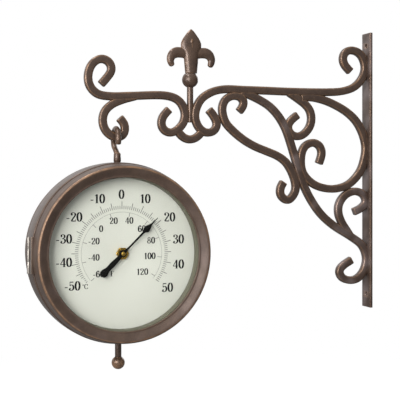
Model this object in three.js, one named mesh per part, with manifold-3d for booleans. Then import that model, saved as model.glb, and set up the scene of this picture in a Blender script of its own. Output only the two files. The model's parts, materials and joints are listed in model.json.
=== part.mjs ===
// Two-faced bracket clock with a thermometer on its other face. Millimetres, +Z up.
// Origin: centre of the face of the wall plate that lies on the wall. The wall is at X = 0 and the
// bracket reaches out along -X. The thermometer faces -Y, the clock faces +Y.
import * as THREE from "three";
import Module from "manifold-3d";

const wasm = await Module();
wasm.setup();

// ---------------------------------------------------------------- driving dimensions
const GAP = 0.3; // clearance kept between neighbouring pieces
const PLATE = { height: 276, width: 18, thick: 3, holeZ: 125, hole: 4.4 };
const ROD = 6.9; // side of the square scroll rod
const ROD_ROUND = 2; // its corner radius
const ROD_STEP = 5.6; // length of one facet along a scroll
const HEAD_X = -260.8; // centre of the drum, and the line it hangs on
const HEAD_Z = -77;
const CASE = { outer: 84.2, inner: 81, half: 16.9, edge: 82.8, crown: 5 };
const LIP = 70; // radius of the dial opening
const BEZEL = { joint: 17.3, front: 36.3, bore: 77.6, seat: 31.5, side: 83.2 };
const GLASS = { radius: 77.2, front: 31.2, thick: 2.5 };
const DIAL = { radius: 77.2, front: 18.4, thick: 1.5, bore: 4.4 };
const REVEAL = { inner: 70.4, outer: 77.2, front: 28.4, back: 18.7 };
const RETAINER = { inner: 70, outer: 80.4, front: 16.6, back: 14.4 };
const EYE = { wire: 2.7, ring: 9.7, z: 28.9, shank: 3.1 };
const RINGS = 32; // facets round the rings inside the drum
const PIN_X = -189.2; // upright between the two upper curls
const BALL_R = 7.8;
const BALL_Z = 86.3;
const DROP = { x: HEAD_X + 0.9, rod: 3.05, ballZ: -103.6, ball: 6.2 };
const HINGE = { out: 85.8, y: 17.1, barrel: 1.6, bore: 1.0, pin: 0.7, half: 16.5 };
const SIDES = 48; // facets round the big rings
const SMALL = 20; // facets round small turned pieces

const PIN = { foot: 45.5, top: 81.5, radius: 3.1 };
const FINIAL = { seat: 5, thick: 4, bevel: 1.8, inset: 1.6, half: 4.4 };
const NUT = { flats: 10, high: 4, clear: 1.4 }; // nuts on the eye's shank and on the drop rod
const PAST = 4; // how far a cutter runs past what it cuts

// thermometer: the dial's face is at -DIAL.front, the can lies behind it
const CAN = { radius: 21, back: 8, wall: 0.8 };
const BUSH = { outer: 4, bore: 1.5, flats: 10, head: 2.7, tail: 15.2 };
const SPINDLE = { radius: 1.1, back: 9.6 };
const NEEDLE = { y: 23.4, thick: 0.8 };
const COIL = { inner: 4, outer: 17, turns: 3.5, thick: 0.6, wide: 4, y: -12.4 };
const REST_DEG = 45.4; // angle of the needle from straight up, clockwise

// clock: depths are plain Y values, the dial's face is at DIAL.front
const MOVE = { half: 28, back: 1, front: 16.4, wall: 1.2, divide: -10.4 };
const BUSHING = { outer: 4, inner: 2.9, end: 22.3 };
const HOUR = { tube: 2.55, bore: 1.75, y0: 11.4, y1: 12.6, tip: 24.2, hand: 23.4, long: 37 };
const MINUTE = { arbor: 1.4, y0: 8.9, y1: 10.9, tip: 27.4, hand: 26.4, long: 56 };
const HAND = { thick: 0.7, fit: 0.15 };
const GEAR = { module: 0.4, minute: 12, wheel: 36, pinion: 10, hour: 40, setter: 12 };
const WHEEL = { y0: 9.2, y1: 10.6, pinionEnd: 13.4, arbor: 0.7, back: 5, tip: 14.6 };
const KNOB = { teeth: 12, module: 1, back: -2.2, front: 0.6, arbor: 1.4, tip: 14 };
const BOARD = { wide: 12, high: 20, y0: 11, y1: 12.4, left: -24, foot: 2 };
const WINDING = { wide: 11, high: 15, y0: 5, y1: 10.4, foot: 5 };
const BATTERY = { radius: 7, length: 49, z: -18.9, y: 8.3, button: 2.6, step: 1.6 };
const CONTACT = { half: 4, y0: 4, y1: 12.6 };
const FIXING = { washer: 9, nut: 7 };
const MINUTES_PAST = 9; // rest time is nine minutes past ten
const HOURS_PAST = 10;

// the wheel beside the centre and the setting knob's arbor, from the centre of the dial
const CENTRE_DISTANCE = ((GEAR.minute + GEAR.wheel) * GEAR.module) / 2;
const HOUR_MODULE = (2 * CENTRE_DISTANCE) / (GEAR.hour + GEAR.pinion);
const WHEEL_ANGLE = Math.PI / 4;
const SETTER_ANGLE = 0.35;
const WHEEL_AT = [CENTRE_DISTANCE * Math.cos(WHEEL_ANGLE), CENTRE_DISTANCE * Math.sin(WHEEL_ANGLE)];
const SETTER_AT = [
  WHEEL_AT[0] + CENTRE_DISTANCE * Math.cos(SETTER_ANGLE),
  WHEEL_AT[1] + CENTRE_DISTANCE * Math.sin(SETTER_ANGLE),
];

// ---------------------------------------------------------------- materials
function finish(color, roughness, metalness) {
  return new THREE.MeshStandardMaterial({ color, roughness, metalness });
}
const bronze = finish(0x4d3e36, 0.45, 0.75);
const brass = finish(0xb08d57, 0.35, 0.9);
const steel = finish(0xa9a9a6, 0.35, 0.9);
const black = finish(0x16150f, 0.5, 0.1);
const cream = finish(0xd6dac6, 0.6, 0.0);
const plastic = finish(0x23242a, 0.55, 0.0);
const clear = finish(0xe8f0f0, 0.05, 0.0);
const board = finish(0x2c6b45, 0.5, 0.1);
const copper = finish(0xb5653a, 0.35, 0.9);
const jacket = finish(0x3b5f8a, 0.4, 0.3);

// ---------------------------------------------------------------- solids
const CELL = 1e-4; // vertices closer than this are one

// one closed body from a three.js geometry, with its faces turned outward
function solid(geometry) {
  const position = geometry.getAttribute("position");
  const index = geometry.getIndex();
  const count = index ? index.count : position.count;
  const seen = new Map();
  const points = [];
  const corner = (i) => {
    const at = index ? index.getX(i) : i;
    const p = [position.getX(at), position.getY(at), position.getZ(at)];
    const key = p.map((v) => Math.round(v / CELL)).join(",");
    if (!seen.has(key)) {
      seen.set(key, points.length / 3);
      points.push(...p);
    }
    return seen.get(key);
  };
  const faces = [];
  for (let i = 0; i < count; i += 3) {
    const [a, b, c] = [corner(i), corner(i + 1), corner(i + 2)];
    if (a !== b && b !== c && a !== c) faces.push(a, b, c);
  }
  const build = (list) =>
    new wasm.Manifold(
      new wasm.Mesh({
        numProp: 3,
        vertProperties: new Float32Array(points),
        triVerts: new Uint32Array(list),
      }),
    );
  const body = build(faces);
  if (body.volume() > 0) return body;
  for (let i = 0; i < faces.length; i += 3) {
    [faces[i + 1], faces[i + 2]] = [faces[i + 2], faces[i + 1]];
  }
  return build(faces);
}

function unite(first, ...rest) {
  return rest.reduce((body, next) => body.add(next), first);
}

function cut(first, ...rest) {
  return rest.reduce((body, next) => body.subtract(next), first);
}

// the biggest body left after a cut, without the crumbs
function largest(body) {
  const bodies = body.decompose();
  bodies.sort((a, b) => b.volume() - a.volume());
  return bodies[0];
}

const group = new THREE.Group();
group.name = "two_faced_bracket_clock";

function place(name, body, material) {
  const mesh = body.getMesh();
  const stride = mesh.numProp;
  const count = mesh.vertProperties.length / stride;
  const position = new Float32Array(count * 3);
  for (let i = 0; i < count; i++) {
    for (let k = 0; k < 3; k++) position[3 * i + k] = mesh.vertProperties[stride * i + k];
  }
  const geometry = new THREE.BufferGeometry();
  geometry.setAttribute("position", new THREE.BufferAttribute(position, 3));
  geometry.setIndex(new THREE.BufferAttribute(new Uint32Array(mesh.triVerts), 1));
  geometry.computeVertexNormals();
  const piece = new THREE.Mesh(geometry, material);
  piece.name = name;
  group.add(piece);
}

// ---------------------------------------------------------------- building blocks
function block(x0, x1, y0, y1, z0, z1) {
  const geometry = new THREE.BoxGeometry(x1 - x0, y1 - y0, z1 - z0);
  geometry.translate((x0 + x1) / 2, (y0 + y1) / 2, (z0 + z1) / 2);
  return solid(geometry);
}

// turned about the line through the drum that runs front to back; profile is [radius, y]
function turnedY(profile, sides = SIDES, x = HEAD_X, z = HEAD_Z) {
  const points = profile.map(([r, y]) => new THREE.Vector2(r, y));
  const geometry = new THREE.LatheGeometry(points, sides);
  geometry.translate(x, 0, z);
  return solid(geometry);
}

// turned about an upright line; profile is [radius, z]
function turnedZ(profile, x, y, z, sides = SMALL) {
  const points = profile.map(([r, h]) => new THREE.Vector2(r, h));
  const geometry = new THREE.LatheGeometry(points, sides);
  geometry.rotateX(Math.PI / 2);
  geometry.translate(x, y, z);
  return solid(geometry);
}

function rim(r0, r1, y0, y1) {
  return [[r0, y0], [r1, y0], [r1, y1], [r0, y1], [r0, y0]];
}

function rod(r, y0, y1) {
  return [[0, y0], [r, y0], [r, y1], [0, y1]];
}

// the same piece on the other face: turned half a turn about the upright line of the head
function otherFace(body) {
  return body.translate([-HEAD_X, 0, 0]).rotate([0, 0, 180]).translate([HEAD_X, 0, 0]);
}

// a flat outline in X and Z, given a thickness along Y
function plateXZ(shape, y0, y1) {
  const geometry = new THREE.ExtrudeGeometry(shape, { depth: y1 - y0, bevelEnabled: false });
  geometry.rotateX(Math.PI / 2);
  geometry.translate(0, y1, 0);
  return solid(geometry);
}

function circle(x, z, r, sides) {
  const path = new THREE.Path();
  for (let i = 0; i < sides; i++) {
    const a = (2 * Math.PI * i) / sides;
    const [px, pz] = [x + r * Math.cos(a), z + r * Math.sin(a)];
    if (i === 0) path.moveTo(px, pz);
    else path.lineTo(px, pz);
  }
  path.closePath();
  return path;
}

function disc(x, z, r, sides) {
  return new THREE.Shape(circle(x, z, r, sides).getPoints());
}

function squareSection(side, round) {
  const [h, k] = [side / 2, side / 2 - round * 0.6];
  const shape = new THREE.Shape();
  [[h, -k], [h, k], [k, h], [-k, h], [-h, k], [-h, -k], [-k, -h], [k, -h]].forEach(([x, y], i) => {
    if (i === 0) shape.moveTo(x, y);
    else shape.lineTo(x, y);
  });
  shape.closePath();
  return shape;
}

// a rod bent along a smooth line through [x, z] points in the plane of the bracket
function scroll(points, grow = 0) {
  const path = new THREE.CatmullRomCurve3(
    points.map(([x, z]) => new THREE.Vector3(x, 0, z)),
    false,
    "centripetal",
  );
  const steps = Math.round(path.getLength() / ROD_STEP);
  const geometry = new THREE.ExtrudeGeometry(squareSection(ROD + 2 * grow, ROD_ROUND), {
    steps,
    extrudePath: path,
  });
  return solid(geometry);
}

// ---------------------------------------------------------------- bracket
// Centre lines of the bent rods, each from one cut end to the other.
const ARM = [
  [-277, 80.3], [-270.6, 86], [-267, 93.9], [-269.6, 100.4], [-276.5, 103.4], [-284.9, 98.6],
  [-288.7, 88.1], [-287, 78], [-279.7, 70.8], [-267.7, 68.9], [-248.4, 69.6], [-211, 70.3],
  [-200.1, 65.7], [-194.5, 55], [-196.8, 43.9], [-207.8, 35.8], [-215.9, 39.2], [-217.4, 47],
  [-215, 53.6], [-209.2, 57.2],
];
const HOOK = [
  [-243, 69.5], [-256.6, 65.6], [-266.6, 61], [-273, 54.5], [-274.9, 46], [-272, 36.8],
  [-263.6, 31], [-256.8, 32.9], [-253.6, 39.1], [-254.8, 45.3], [-258.9, 49],
];
const MAIN = [
  [-170.6, 57.6], [-164.5, 54], [-162.8, 47.3], [-165, 40], [-171, 36], [-178.7, 38.2],
  [-183.4, 45.6], [-184.2, 54.2], [-179.2, 66.6], [-169, 74.2], [-156.4, 77.2], [-117.5, 77.7],
  [-75.2, 77.8], [-31.7, 78.7], [-14.8, 83.2], [-6.7, 95], [-6, 109.1], [-17.9, 120.7],
  [-28.3, 113.9], [-27.9, 104.6], [-20.4, 99.4],
];
const LINK = [[-201.7, 36.8], [-196.3, 31.3], [-189.5, 29], [-182.8, 31.3], [-177.2, 37]];
const BRACE = [
  [-139.8, 56.4], [-135, 63.4], [-137.8, 70.4], [-145, 72.3], [-154.2, 67.8], [-158.3, 57.5],
  [-153.6, 45.7], [-138.4, 31.4], [-120.1, 21.2], [-101.4, 14.6], [-87.2, 2.8], [-80.2, -9.2],
  [-79.6, -19.7], [-88.7, -29.4], [-96.1, -23.8], [-96.5, -16.8], [-92.7, -12.8],
];
const SPINE = [
  [-135.2, 73.5], [-116.8, 68.5], [-104.2, 59.6], [-92.9, 45.4], [-82.6, 17.4], [-71.1, -15.8],
  [-55.6, -40.7], [-40.4, -54.5], [-22.6, -65.2], [-11.6, -73.5], [-7, -84.6], [-6.6, -97.8],
  [-12.2, -108.2], [-21, -111], [-30.3, -107.4], [-32.8, -100.3], [-29.8, -93.8], [-19.9, -90],
];
const SMALL_S = [
  [-92, 76.5], [-79, 70.6], [-68.7, 65.2], [-63.1, 56.9], [-62.9, 48.3], [-68.2, 38.4],
  [-77.8, 33.5], [-85, 38], [-86.7, 46.2], [-84, 51.8], [-77.8, 54.1],
];
const BIG_C = [
  [-70.9, 70.4], [-60.1, 72.5], [-48.1, 69.9], [-34.2, 63.6], [-20, 53.5], [-9, 41.1],
  [-5.2, 22.3], [-9.4, 4.9], [-20.7, -11.3], [-41.8, -18.6], [-60.8, -14], [-72.7, -1.9],
  [-75.7, 11.9], [-71.9, 22.4], [-61.7, 27.5], [-53.6, 24], [-52, 18], [-52.7, 11], [-55.5, 5.9],
];
const FOOT = [
  [-17.4, -41.4], [-7.6, -37.2], [-5.9, -29.2], [-15, -20.5], [-27.8, -25.6], [-34, -38],
  [-31.6, -51.3], [-21.8, -61], [-14.5, -68.5],
];

function wallPlate(grow = 0) {
  const { height, width, thick } = PLATE;
  const [h, w] = [height / 2 + grow, width / 2 + grow];
  return block(-thick - grow, grow, -w, w, -h, h);
}

function screwHoles() {
  const { holeZ, hole, thick } = PLATE;
  return [holeZ, -holeZ].map((z) => {
    const geometry = new THREE.CylinderGeometry(hole / 2, hole / 2, 4 * thick, SMALL);
    geometry.rotateZ(Math.PI / 2);
    geometry.translate(-thick / 2, 0, z);
    return solid(geometry);
  });
}

function buildBracket() {
  const clearPlate = wallPlate(GAP);
  const [main, arm, spine, bigC] = [MAIN, ARM, SPINE, BIG_C].map((line) => scroll(line, GAP));
  const pin = finialPin(GAP);
  place("wall_plate", cut(wallPlate(), ...screwHoles()), bronze);
  place("main_scroll", largest(cut(scroll(MAIN), clearPlate)), bronze);
  place("arm_scroll", scroll(ARM), bronze);
  place("finial_pin", largest(cut(finialPin(), main, arm)), bronze);
  place("hook_scroll", largest(cut(scroll(HOOK), arm)), bronze);
  place("centre_link", largest(cut(scroll(LINK), main, arm, pin)), bronze);
  place("spine", largest(cut(scroll(SPINE), main, clearPlate)), bronze);
  place("big_c_scroll", largest(cut(scroll(BIG_C), main, spine, clearPlate)), bronze);
  place("brace_scroll", largest(cut(scroll(BRACE), main, spine)), bronze);
  place("small_s_scroll", largest(cut(scroll(SMALL_S), main, spine, bigC)), bronze);
  place("foot_scroll", largest(cut(scroll(FOOT), spine, bigC, clearPlate)), bronze);
}

// ---------------------------------------------------------------- finial
function finialPin(grow = 0) {
  const { foot, top, radius } = PIN;
  return turnedZ(rod(radius + grow, foot - grow, top + grow), PIN_X, 0, 0);
}

function arcPoints(radius, from, to, steps) {
  return Array.from({ length: steps + 1 }, (_, i) => {
    const a = from + ((to - from) * i) / steps;
    return [radius * Math.cos(a), radius * Math.sin(a)];
  });
}

// ball with a socket for the pin below and a flat seat on top
function finialBall() {
  const bore = PIN.radius + GAP;
  const low = -Math.acos(bore / BALL_R);
  const high = Math.acos(FINIAL.seat / BALL_R);
  const floor = PIN.top + GAP - BALL_Z;
  const profile = [[0, floor], [bore, floor], ...arcPoints(BALL_R, low, high, 8)];
  profile.push([0, BALL_R * Math.sin(high)]);
  return turnedZ(profile, PIN_X, 0, BALL_Z);
}

// half of the lily outline, from the foot of the stem up to the tip, mirrored for the other half
function lilyOutline() {
  const half = [
    [5.9, 0], [6.6, 6], [7.1, 11.8], [9.6, 13.9], [12.4, 14.3], [14.9, 13.2], [16.2, 10.4],
    [17, 7.6], [19, 5.9], [21.6, 6.8], [23.7, 10.2], [24, 14.4], [22.4, 19.2], [19.2, 22.9],
    [15.2, 24.4], [11.6, 23.4], [10.2, 25.4], [9.9, 28.4], [8, 33], [4.8, 37.9], [1.8, 41.6],
  ];
  const points = [...half, [0, 42.4], ...half.map(([x, z]) => [-x, z]).reverse()];
  return new THREE.Shape(points.map(([x, z]) => new THREE.Vector2(x, z)));
}

// cast lily: a bevelled plate with a fuller stem up its middle
function finial() {
  const { seat, thick, bevel, inset, half } = FINIAL;
  const x = PIN_X + 1;
  const foot = BALL_Z + Math.sqrt(BALL_R * BALL_R - seat * seat) + GAP;
  const geometry = new THREE.ExtrudeGeometry(lilyOutline(), {
    depth: thick,
    bevelThickness: bevel,
    bevelSize: inset,
    bevelOffset: -inset,
    bevelSegments: 2,
  });
  geometry.rotateX(Math.PI / 2);
  geometry.translate(x, thick / 2, foot);
  const stem = turnedZ([[0, 0], [6.2, 0], [7.3, 13], [7, 18], [4, 30], [0, 38]], x, 0, foot, 12);
  const flat = block(x - 30, x + 30, -half, half, foot, foot + 60);
  return unite(solid(geometry), stem.intersect(flat));
}

// ---------------------------------------------------------------- drum
function radialBore(x, r, z0, z1) {
  return turnedZ(rod(r, z0, z1), x, 0, HEAD_Z);
}

function caseBand() {
  const { outer, inner, half, edge, crown } = CASE;
  const profile = [
    [inner, -half], [edge, -half], [outer, -crown], [outer, crown], [edge, half], [inner, half],
    [inner, -half],
  ];
  const eyeHole = radialBore(HEAD_X, EYE.shank + GAP, inner - PAST, outer + PAST);
  const rodHole = radialBore(DROP.x, DROP.rod + GAP, -outer - PAST, -inner + PAST);
  return cut(turnedY(profile), eyeHole, rodHole);
}

// cast ring: worn ridge outside, hollow face, raised lip, seat for the glass, open back
function bezel() {
  const { joint, front, bore, seat } = BEZEL;
  const profile = [
    [bore, -joint], [82.7, -joint], [82.5, -joint - 8], [81.3, -front + 2.4], [80.6, -front],
    [79.3, -front + 0.2], [75.8, -front + 2.4], [72.6, -front + 2.6], [71.2, -front + 1.6],
    [LIP, -front + 2.2], [LIP, -seat], [bore, -seat], [bore, -joint],
  ];
  return turnedY(profile);
}

function glass() {
  const { radius, front, thick } = GLASS;
  return turnedY(rod(radius, -front, -front + thick), RINGS);
}

function revealRing() {
  return turnedY(rim(REVEAL.inner, REVEAL.outer, -REVEAL.front, -REVEAL.back), RINGS);
}

function retainer() {
  return turnedY(rim(RETAINER.inner, RETAINER.outer, -RETAINER.front, -RETAINER.back), RINGS);
}

function dial() {
  const { bore, radius, front, thick } = DIAL;
  return turnedY(rim(bore, radius, -front, -front + thick), RINGS);
}

function hexNut(acrossFlats, bore, z0, z1) {
  const hex = new THREE.Shape(circle(0, 0, acrossFlats / Math.sqrt(3), 6).getPoints());
  hex.holes.push(circle(0, 0, bore, SMALL));
  const geometry = new THREE.ExtrudeGeometry(hex, { depth: z1 - z0, bevelEnabled: false });
  geometry.translate(0, 0, z0);
  return solid(geometry);
}

// open loop in the plane across the hook, running down into an upright shank
function screwEye() {
  const { wire, ring, z, shank } = EYE;
  const line = [];
  const from = -0.5;
  const to = Math.PI + 1.05;
  for (let i = 0; i <= 16; i++) {
    const a = from + ((to - from) * i) / 16;
    line.push(new THREE.Vector3(HEAD_X, -ring * Math.cos(a), z + ring * Math.sin(a)));
  }
  line.push(new THREE.Vector3(HEAD_X, 1.2, z - ring - 2.6));
  line.push(new THREE.Vector3(HEAD_X, 0, z - ring - 5));
  const path = new THREE.CatmullRomCurve3(line, false, "centripetal");
  const section = disc(0, 0, wire, 8);
  const loop = solid(new THREE.ExtrudeGeometry(section, { steps: 22, extrudePath: path }));
  const top = z - ring - 3 - HEAD_Z;
  const collar = CASE.outer + GAP;
  const stem = [
    [0, CASE.inner - 8], [shank, CASE.inner - 8], [shank, collar], [3.5, collar + 0.6],
    [3.3, top - 1], [2.6, top], [0, top],
  ];
  return unite(loop, turnedZ(stem, HEAD_X, 0, HEAD_Z));
}

function buildHead() {
  const seat = CASE.inner - NUT.clear;
  place("case_band", caseBand(), bronze);
  place("screw_eye", screwEye(), bronze);
  const eyeNut = hexNut(NUT.flats, EYE.shank + GAP, seat - NUT.high, seat);
  place("eye_nut", eyeNut.translate([HEAD_X, 0, HEAD_Z]), steel);
  const dropNut = hexNut(NUT.flats, DROP.rod + GAP, -seat, -seat + NUT.high);
  place("drop_nut", dropNut.translate([DROP.x, 0, HEAD_Z]), steel);
  const dropProfile = rod(DROP.rod, DROP.ballZ + 2, -seat + NUT.high + 2);
  place("drop_rod", turnedZ(dropProfile, DROP.x, 0, HEAD_Z, 14), bronze);
  const bore = DROP.rod + GAP;
  const top = Math.acos(bore / DROP.ball);
  const ball = [[0, -DROP.ball], ...arcPoints(DROP.ball, -Math.PI / 2, top, 8).slice(1)];
  ball.push([bore, 1.6], [0, 1.6]);
  place("drop_ball", turnedZ(ball, DROP.x, 0, HEAD_Z + DROP.ballZ, 16), copper);
}

// ---------------------------------------------------------------- hinges
// An upright barrel at the joint of bezel and case: the middle third belongs to the case.
function barrel(z0, z1) {
  const { out, y, barrel: r, bore } = HINGE;
  const profile = [[bore, z0], [r, z0], [r, z1], [bore, z1], [bore, z0]];
  return turnedZ(profile, HEAD_X - out, -y, HEAD_Z, 12);
}

function leaf(y0, y1, inner, z0, z1) {
  return block(HEAD_X - inner - 1, HEAD_X - inner, y0, y1, HEAD_Z + z0, HEAD_Z + z1);
}

function clearPin() {
  const { out, y, bore, half } = HINGE;
  return turnedZ(rod(bore, -half - 1, half + 1), HEAD_X - out, -y, HEAD_Z, 12);
}

function caseLeaf() {
  const third = HINGE.half / 3;
  const flat = leaf(-HINGE.y + 0.6, -7, CASE.outer + 0.2, -third, third);
  return cut(unite(barrel(-third, third), flat), clearPin());
}

function doorLeaf() {
  const third = HINGE.half / 3 + GAP;
  const [x, z] = [HEAD_X - BEZEL.side, HINGE.half];
  const flat = leaf(-24, -HINGE.y - 0.4, BEZEL.side, -z, z);
  const reach = block(x - 2.6, x, -HINGE.y - 1.5, -HINGE.y - 0.6, HEAD_Z - z, HEAD_Z + z);
  const body = unite(flat, reach, barrel(third, z), barrel(-z, -third));
  const { out, y, barrel: r } = HINGE;
  const room = turnedZ(rod(r + GAP, -third, third), HEAD_X - out, -y, HEAD_Z, 12);
  return cut(body, clearPin(), room);
}

function hingePin() {
  return turnedZ(rod(HINGE.pin, -HINGE.half, HINGE.half), HEAD_X - HINGE.out, -HINGE.y, HEAD_Z, 10);
}

// ---------------------------------------------------------------- thermometer
// brass cup behind the dial that holds the winding
function thermometerCan() {
  const { radius, back, wall } = CAN;
  const front = DIAL.front - DIAL.thick - GAP;
  const profile = [
    [0, -back], [radius, -back], [radius, -front], [radius - wall, -front],
    [radius - wall, -back - wall], [0, -back - wall],
  ];
  return turnedY(profile, RINGS);
}

// threaded bush through the dial with a hexagon on its face
function dialBush() {
  const hex = disc(HEAD_X, HEAD_Z, BUSH.flats / Math.sqrt(3), 6);
  hex.holes.push(circle(HEAD_X, HEAD_Z, BUSH.bore, SMALL));
  const seat = -DIAL.front - GAP;
  const head = plateXZ(hex, seat - BUSH.head, seat);
  const stem = turnedY(rim(BUSH.bore, BUSH.outer, seat - 1, -BUSH.tail), SMALL);
  return unite(head, stem);
}

// bimetal strip wound in a flat spiral
function bimetalCoil() {
  const { inner, outer, turns, thick, wide, y } = COIL;
  const steps = 18 * turns;
  const line = Array.from({ length: steps + 1 }, (_, i) => {
    const [r, a] = [inner + ((outer - inner) * i) / steps, (2 * Math.PI * turns * i) / steps];
    return new THREE.Vector3(HEAD_X + r * Math.cos(a), y, HEAD_Z + r * Math.sin(a));
  });
  const path = new THREE.CatmullRomCurve3(line, false, "centripetal");
  const strip = new THREE.Shape();
  strip.moveTo(-wide / 2, -thick / 2);
  strip.lineTo(wide / 2, -thick / 2);
  strip.lineTo(wide / 2, thick / 2);
  strip.lineTo(-wide / 2, thick / 2);
  strip.closePath();
  return solid(new THREE.ExtrudeGeometry(strip, { steps, extrudePath: path }));
}

// flat pointer along +Z: fine tip, drop-shaped head, thin shaft, thick tail with a round end
function needleOutline() {
  const half = [
    [0.3, 47.5], [0.6, 39.5], [1.4, 36.6], [2.8, 33.6], [3, 31.2], [1.9, 29.2], [0.7, 27.4],
    [0.7, 5], [3.4, 3], [3.4, -3], [1.5, -5.4], [1.9, -21.6], [3, -22.6], [3.6, -25.2],
    [2.6, -27.8],
  ];
  const points = [...half, [0, -28.8], ...half.map(([x, z]) => [-x, z]).reverse()];
  return new THREE.Shape(points.map(([x, z]) => new THREE.Vector2(x, z)));
}

function needle() {
  const { y, thick } = NEEDLE;
  const flat = plateXZ(needleOutline(), -y, -y + thick)
    .rotate([0, REST_DEG, 0])
    .translate([HEAD_X, 0, HEAD_Z]);
  const spindle = turnedY(rod(SPINDLE.radius, -y + 0.1, -SPINDLE.back), 12);
  return unite(flat, spindle);
}

function needleCap() {
  const y = NEEDLE.y + GAP;
  return turnedY([[0, -y - 1.6], [1.6, -y - 1.6], [2.6, -y - 0.8], [2.6, -y], [0, -y]], 16);
}

function buildFrontDoor() {
  place("front_bezel", bezel(), bronze);
  place("front_glass", glass(), clear);
  place("front_reveal_ring", revealRing(), bronze);
  place("front_retainer", retainer(), steel);
  place("thermometer_dial", dial(), cream);
  place("front_case_leaf", caseLeaf(), steel);
  place("front_door_leaf", doorLeaf(), steel);
  place("front_hinge_pin", hingePin(), steel);
  place("thermometer_can", thermometerCan(), brass);
  place("dial_bush", dialBush(), brass);
  place("bimetal_coil", bimetalCoil(), copper);
  place("needle", needle(), black);
  place("needle_cap", needleCap(), brass);
}

// ---------------------------------------------------------------- clock
// toothed disc with short teeth, tips held clear of the mating wheel
function gear(teeth, module, y0, y1, bore, x, z) {
  const pitch = (teeth * module) / 2;
  const shape = new THREE.Shape();
  for (let i = 0; i < 2 * teeth; i++) {
    const r = i % 2 ? pitch - 0.75 : pitch - 0.12;
    const a = (Math.PI * i) / teeth;
    const p = [x + r * Math.cos(a), z + r * Math.sin(a)];
    if (i === 0) shape.moveTo(...p);
    else shape.lineTo(...p);
  }
  shape.closePath();
  if (bore > 0) shape.holes.push(circle(x, z, bore, 16));
  return plateXZ(shape, y0, y1);
}

function arborY(x, z, r, y0, y1, sides = 14) {
  return turnedY(rod(r, y0, y1), sides, x, z);
}

// moulded box: works above, battery bay below, both open at the back, threaded bushing in front
function movementCase() {
  const { half, back, front, wall, divide } = MOVE;
  const box = block(HEAD_X - half, HEAD_X + half, back, front, HEAD_Z - half, HEAD_Z + half);
  const [x0, x1] = [HEAD_X - half + wall, HEAD_X + half - wall];
  const [z0, z1, z2] = [HEAD_Z - half + wall, HEAD_Z + divide, HEAD_Z + half - wall];
  const works = block(x0, x1, back - 1, front - wall, z1 + wall, z2);
  const bay = block(x0, x1, back - 1, front - wall + 0.2, z0, z1);
  const bushing = turnedY(rim(BUSHING.inner, BUSHING.outer, front - wall, BUSHING.end), SMALL);
  const through = arborY(HEAD_X, HEAD_Z, BUSHING.inner, front - PAST, front + PAST, SMALL);
  return cut(unite(cut(box, works, bay), bushing), through);
}

function movementCover() {
  const { half, back, wall, divide } = MOVE;
  const edge = half - wall - GAP;
  const z0 = HEAD_Z + divide + wall + GAP;
  const cover = block(HEAD_X - edge, HEAD_X + edge, back, back + wall, z0, HEAD_Z + edge);
  const [x, z] = [HEAD_X + SETTER_AT[0], HEAD_Z + SETTER_AT[1]];
  const hole = arborY(x, z, KNOB.arbor + 2 * GAP, back - PAST, back + PAST);
  return cut(cover, hole);
}

function battery() {
  const { radius, length, z, y, button, step } = BATTERY;
  const h = length / 2;
  const profile = [[0, -h], [radius, -h], [radius, h - step], [button, h - step], [button, h], [0, h]];
  const geometry = new THREE.LatheGeometry(profile.map((p) => new THREE.Vector2(...p)), SMALL);
  geometry.rotateZ(-Math.PI / 2);
  geometry.translate(HEAD_X, y, HEAD_Z + z);
  return solid(geometry);
}

function contact(side) {
  const [inner, outer] = [BATTERY.length / 2 + GAP, MOVE.half - MOVE.wall - GAP];
  const [x0, x1] = side > 0 ? [inner, outer] : [-outer, -inner];
  const z = HEAD_Z + BATTERY.z;
  const { half, y0, y1 } = CONTACT;
  return block(HEAD_X + x0, HEAD_X + x1, y0, y1, z - half, z + half);
}

function minuteArbor() {
  const { arbor, y0, y1, tip } = MINUTE;
  const spindle = arborY(HEAD_X, HEAD_Z, arbor, y0 - PAST, tip);
  return unite(gear(GEAR.minute, GEAR.module, y0, y1, 0, HEAD_X, HEAD_Z), spindle);
}

function hourWheel() {
  const { tube, bore, y0, y1, tip } = HOUR;
  const pipe = turnedY(rim(bore, tube, y0, tip), 16);
  return unite(gear(GEAR.hour, HOUR_MODULE, y0, y1, bore, HEAD_X, HEAD_Z), pipe);
}

function minuteWheel() {
  const [x, z] = [HEAD_X + WHEEL_AT[0], HEAD_Z + WHEEL_AT[1]];
  const { y0, y1, pinionEnd, arbor, back, tip } = WHEEL;
  const wheel = gear(GEAR.wheel, GEAR.module, y0, y1, 0, x, z);
  const pinion = gear(GEAR.pinion, HOUR_MODULE, y1 - 0.2, pinionEnd, 0, x, z);
  return unite(wheel, pinion, arborY(x, z, arbor, back, tip));
}

function settingKnob() {
  const [x, z] = [HEAD_X + SETTER_AT[0], HEAD_Z + SETTER_AT[1]];
  const { teeth, module, back, front, arbor, tip } = KNOB;
  const grip = gear(teeth, module, back, front, 0, x, z);
  const pinion = gear(GEAR.setter, GEAR.module, WHEEL.y0, WHEEL.y1, 0, x, z);
  return unite(grip, pinion, arborY(x, z, arbor, front - 0.2, tip));
}

// spade hand pointing up, seen from the clock face
function handOutline(length, width, spade) {
  const s = length - spade;
  const half = [
    [0.4, length], [0.8, length - spade * 0.45], [width, s + spade * 0.22], [width, s + spade * 0.1],
    [0.9, s - 1], [1.3, 4.6], [3.9, 2.6], [3.9, -2.6], [1.6, -4.4],
  ];
  const tail = [[1.6, -length * 0.22], [-1.6, -length * 0.22]];
  const points = [...half, ...tail, ...half.map(([x, z]) => [-x, z]).reverse()];
  return new THREE.Shape(points.map(([x, z]) => new THREE.Vector2(x, z)));
}

function hand(length, width, spade, bore, y, degrees) {
  const shape = handOutline(length, width, spade);
  shape.holes.push(circle(0, 0, bore, 16));
  return plateXZ(shape, y - HAND.thick, y)
    .rotate([0, -degrees, 0])
    .translate([HEAD_X, 0, HEAD_Z]);
}

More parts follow.
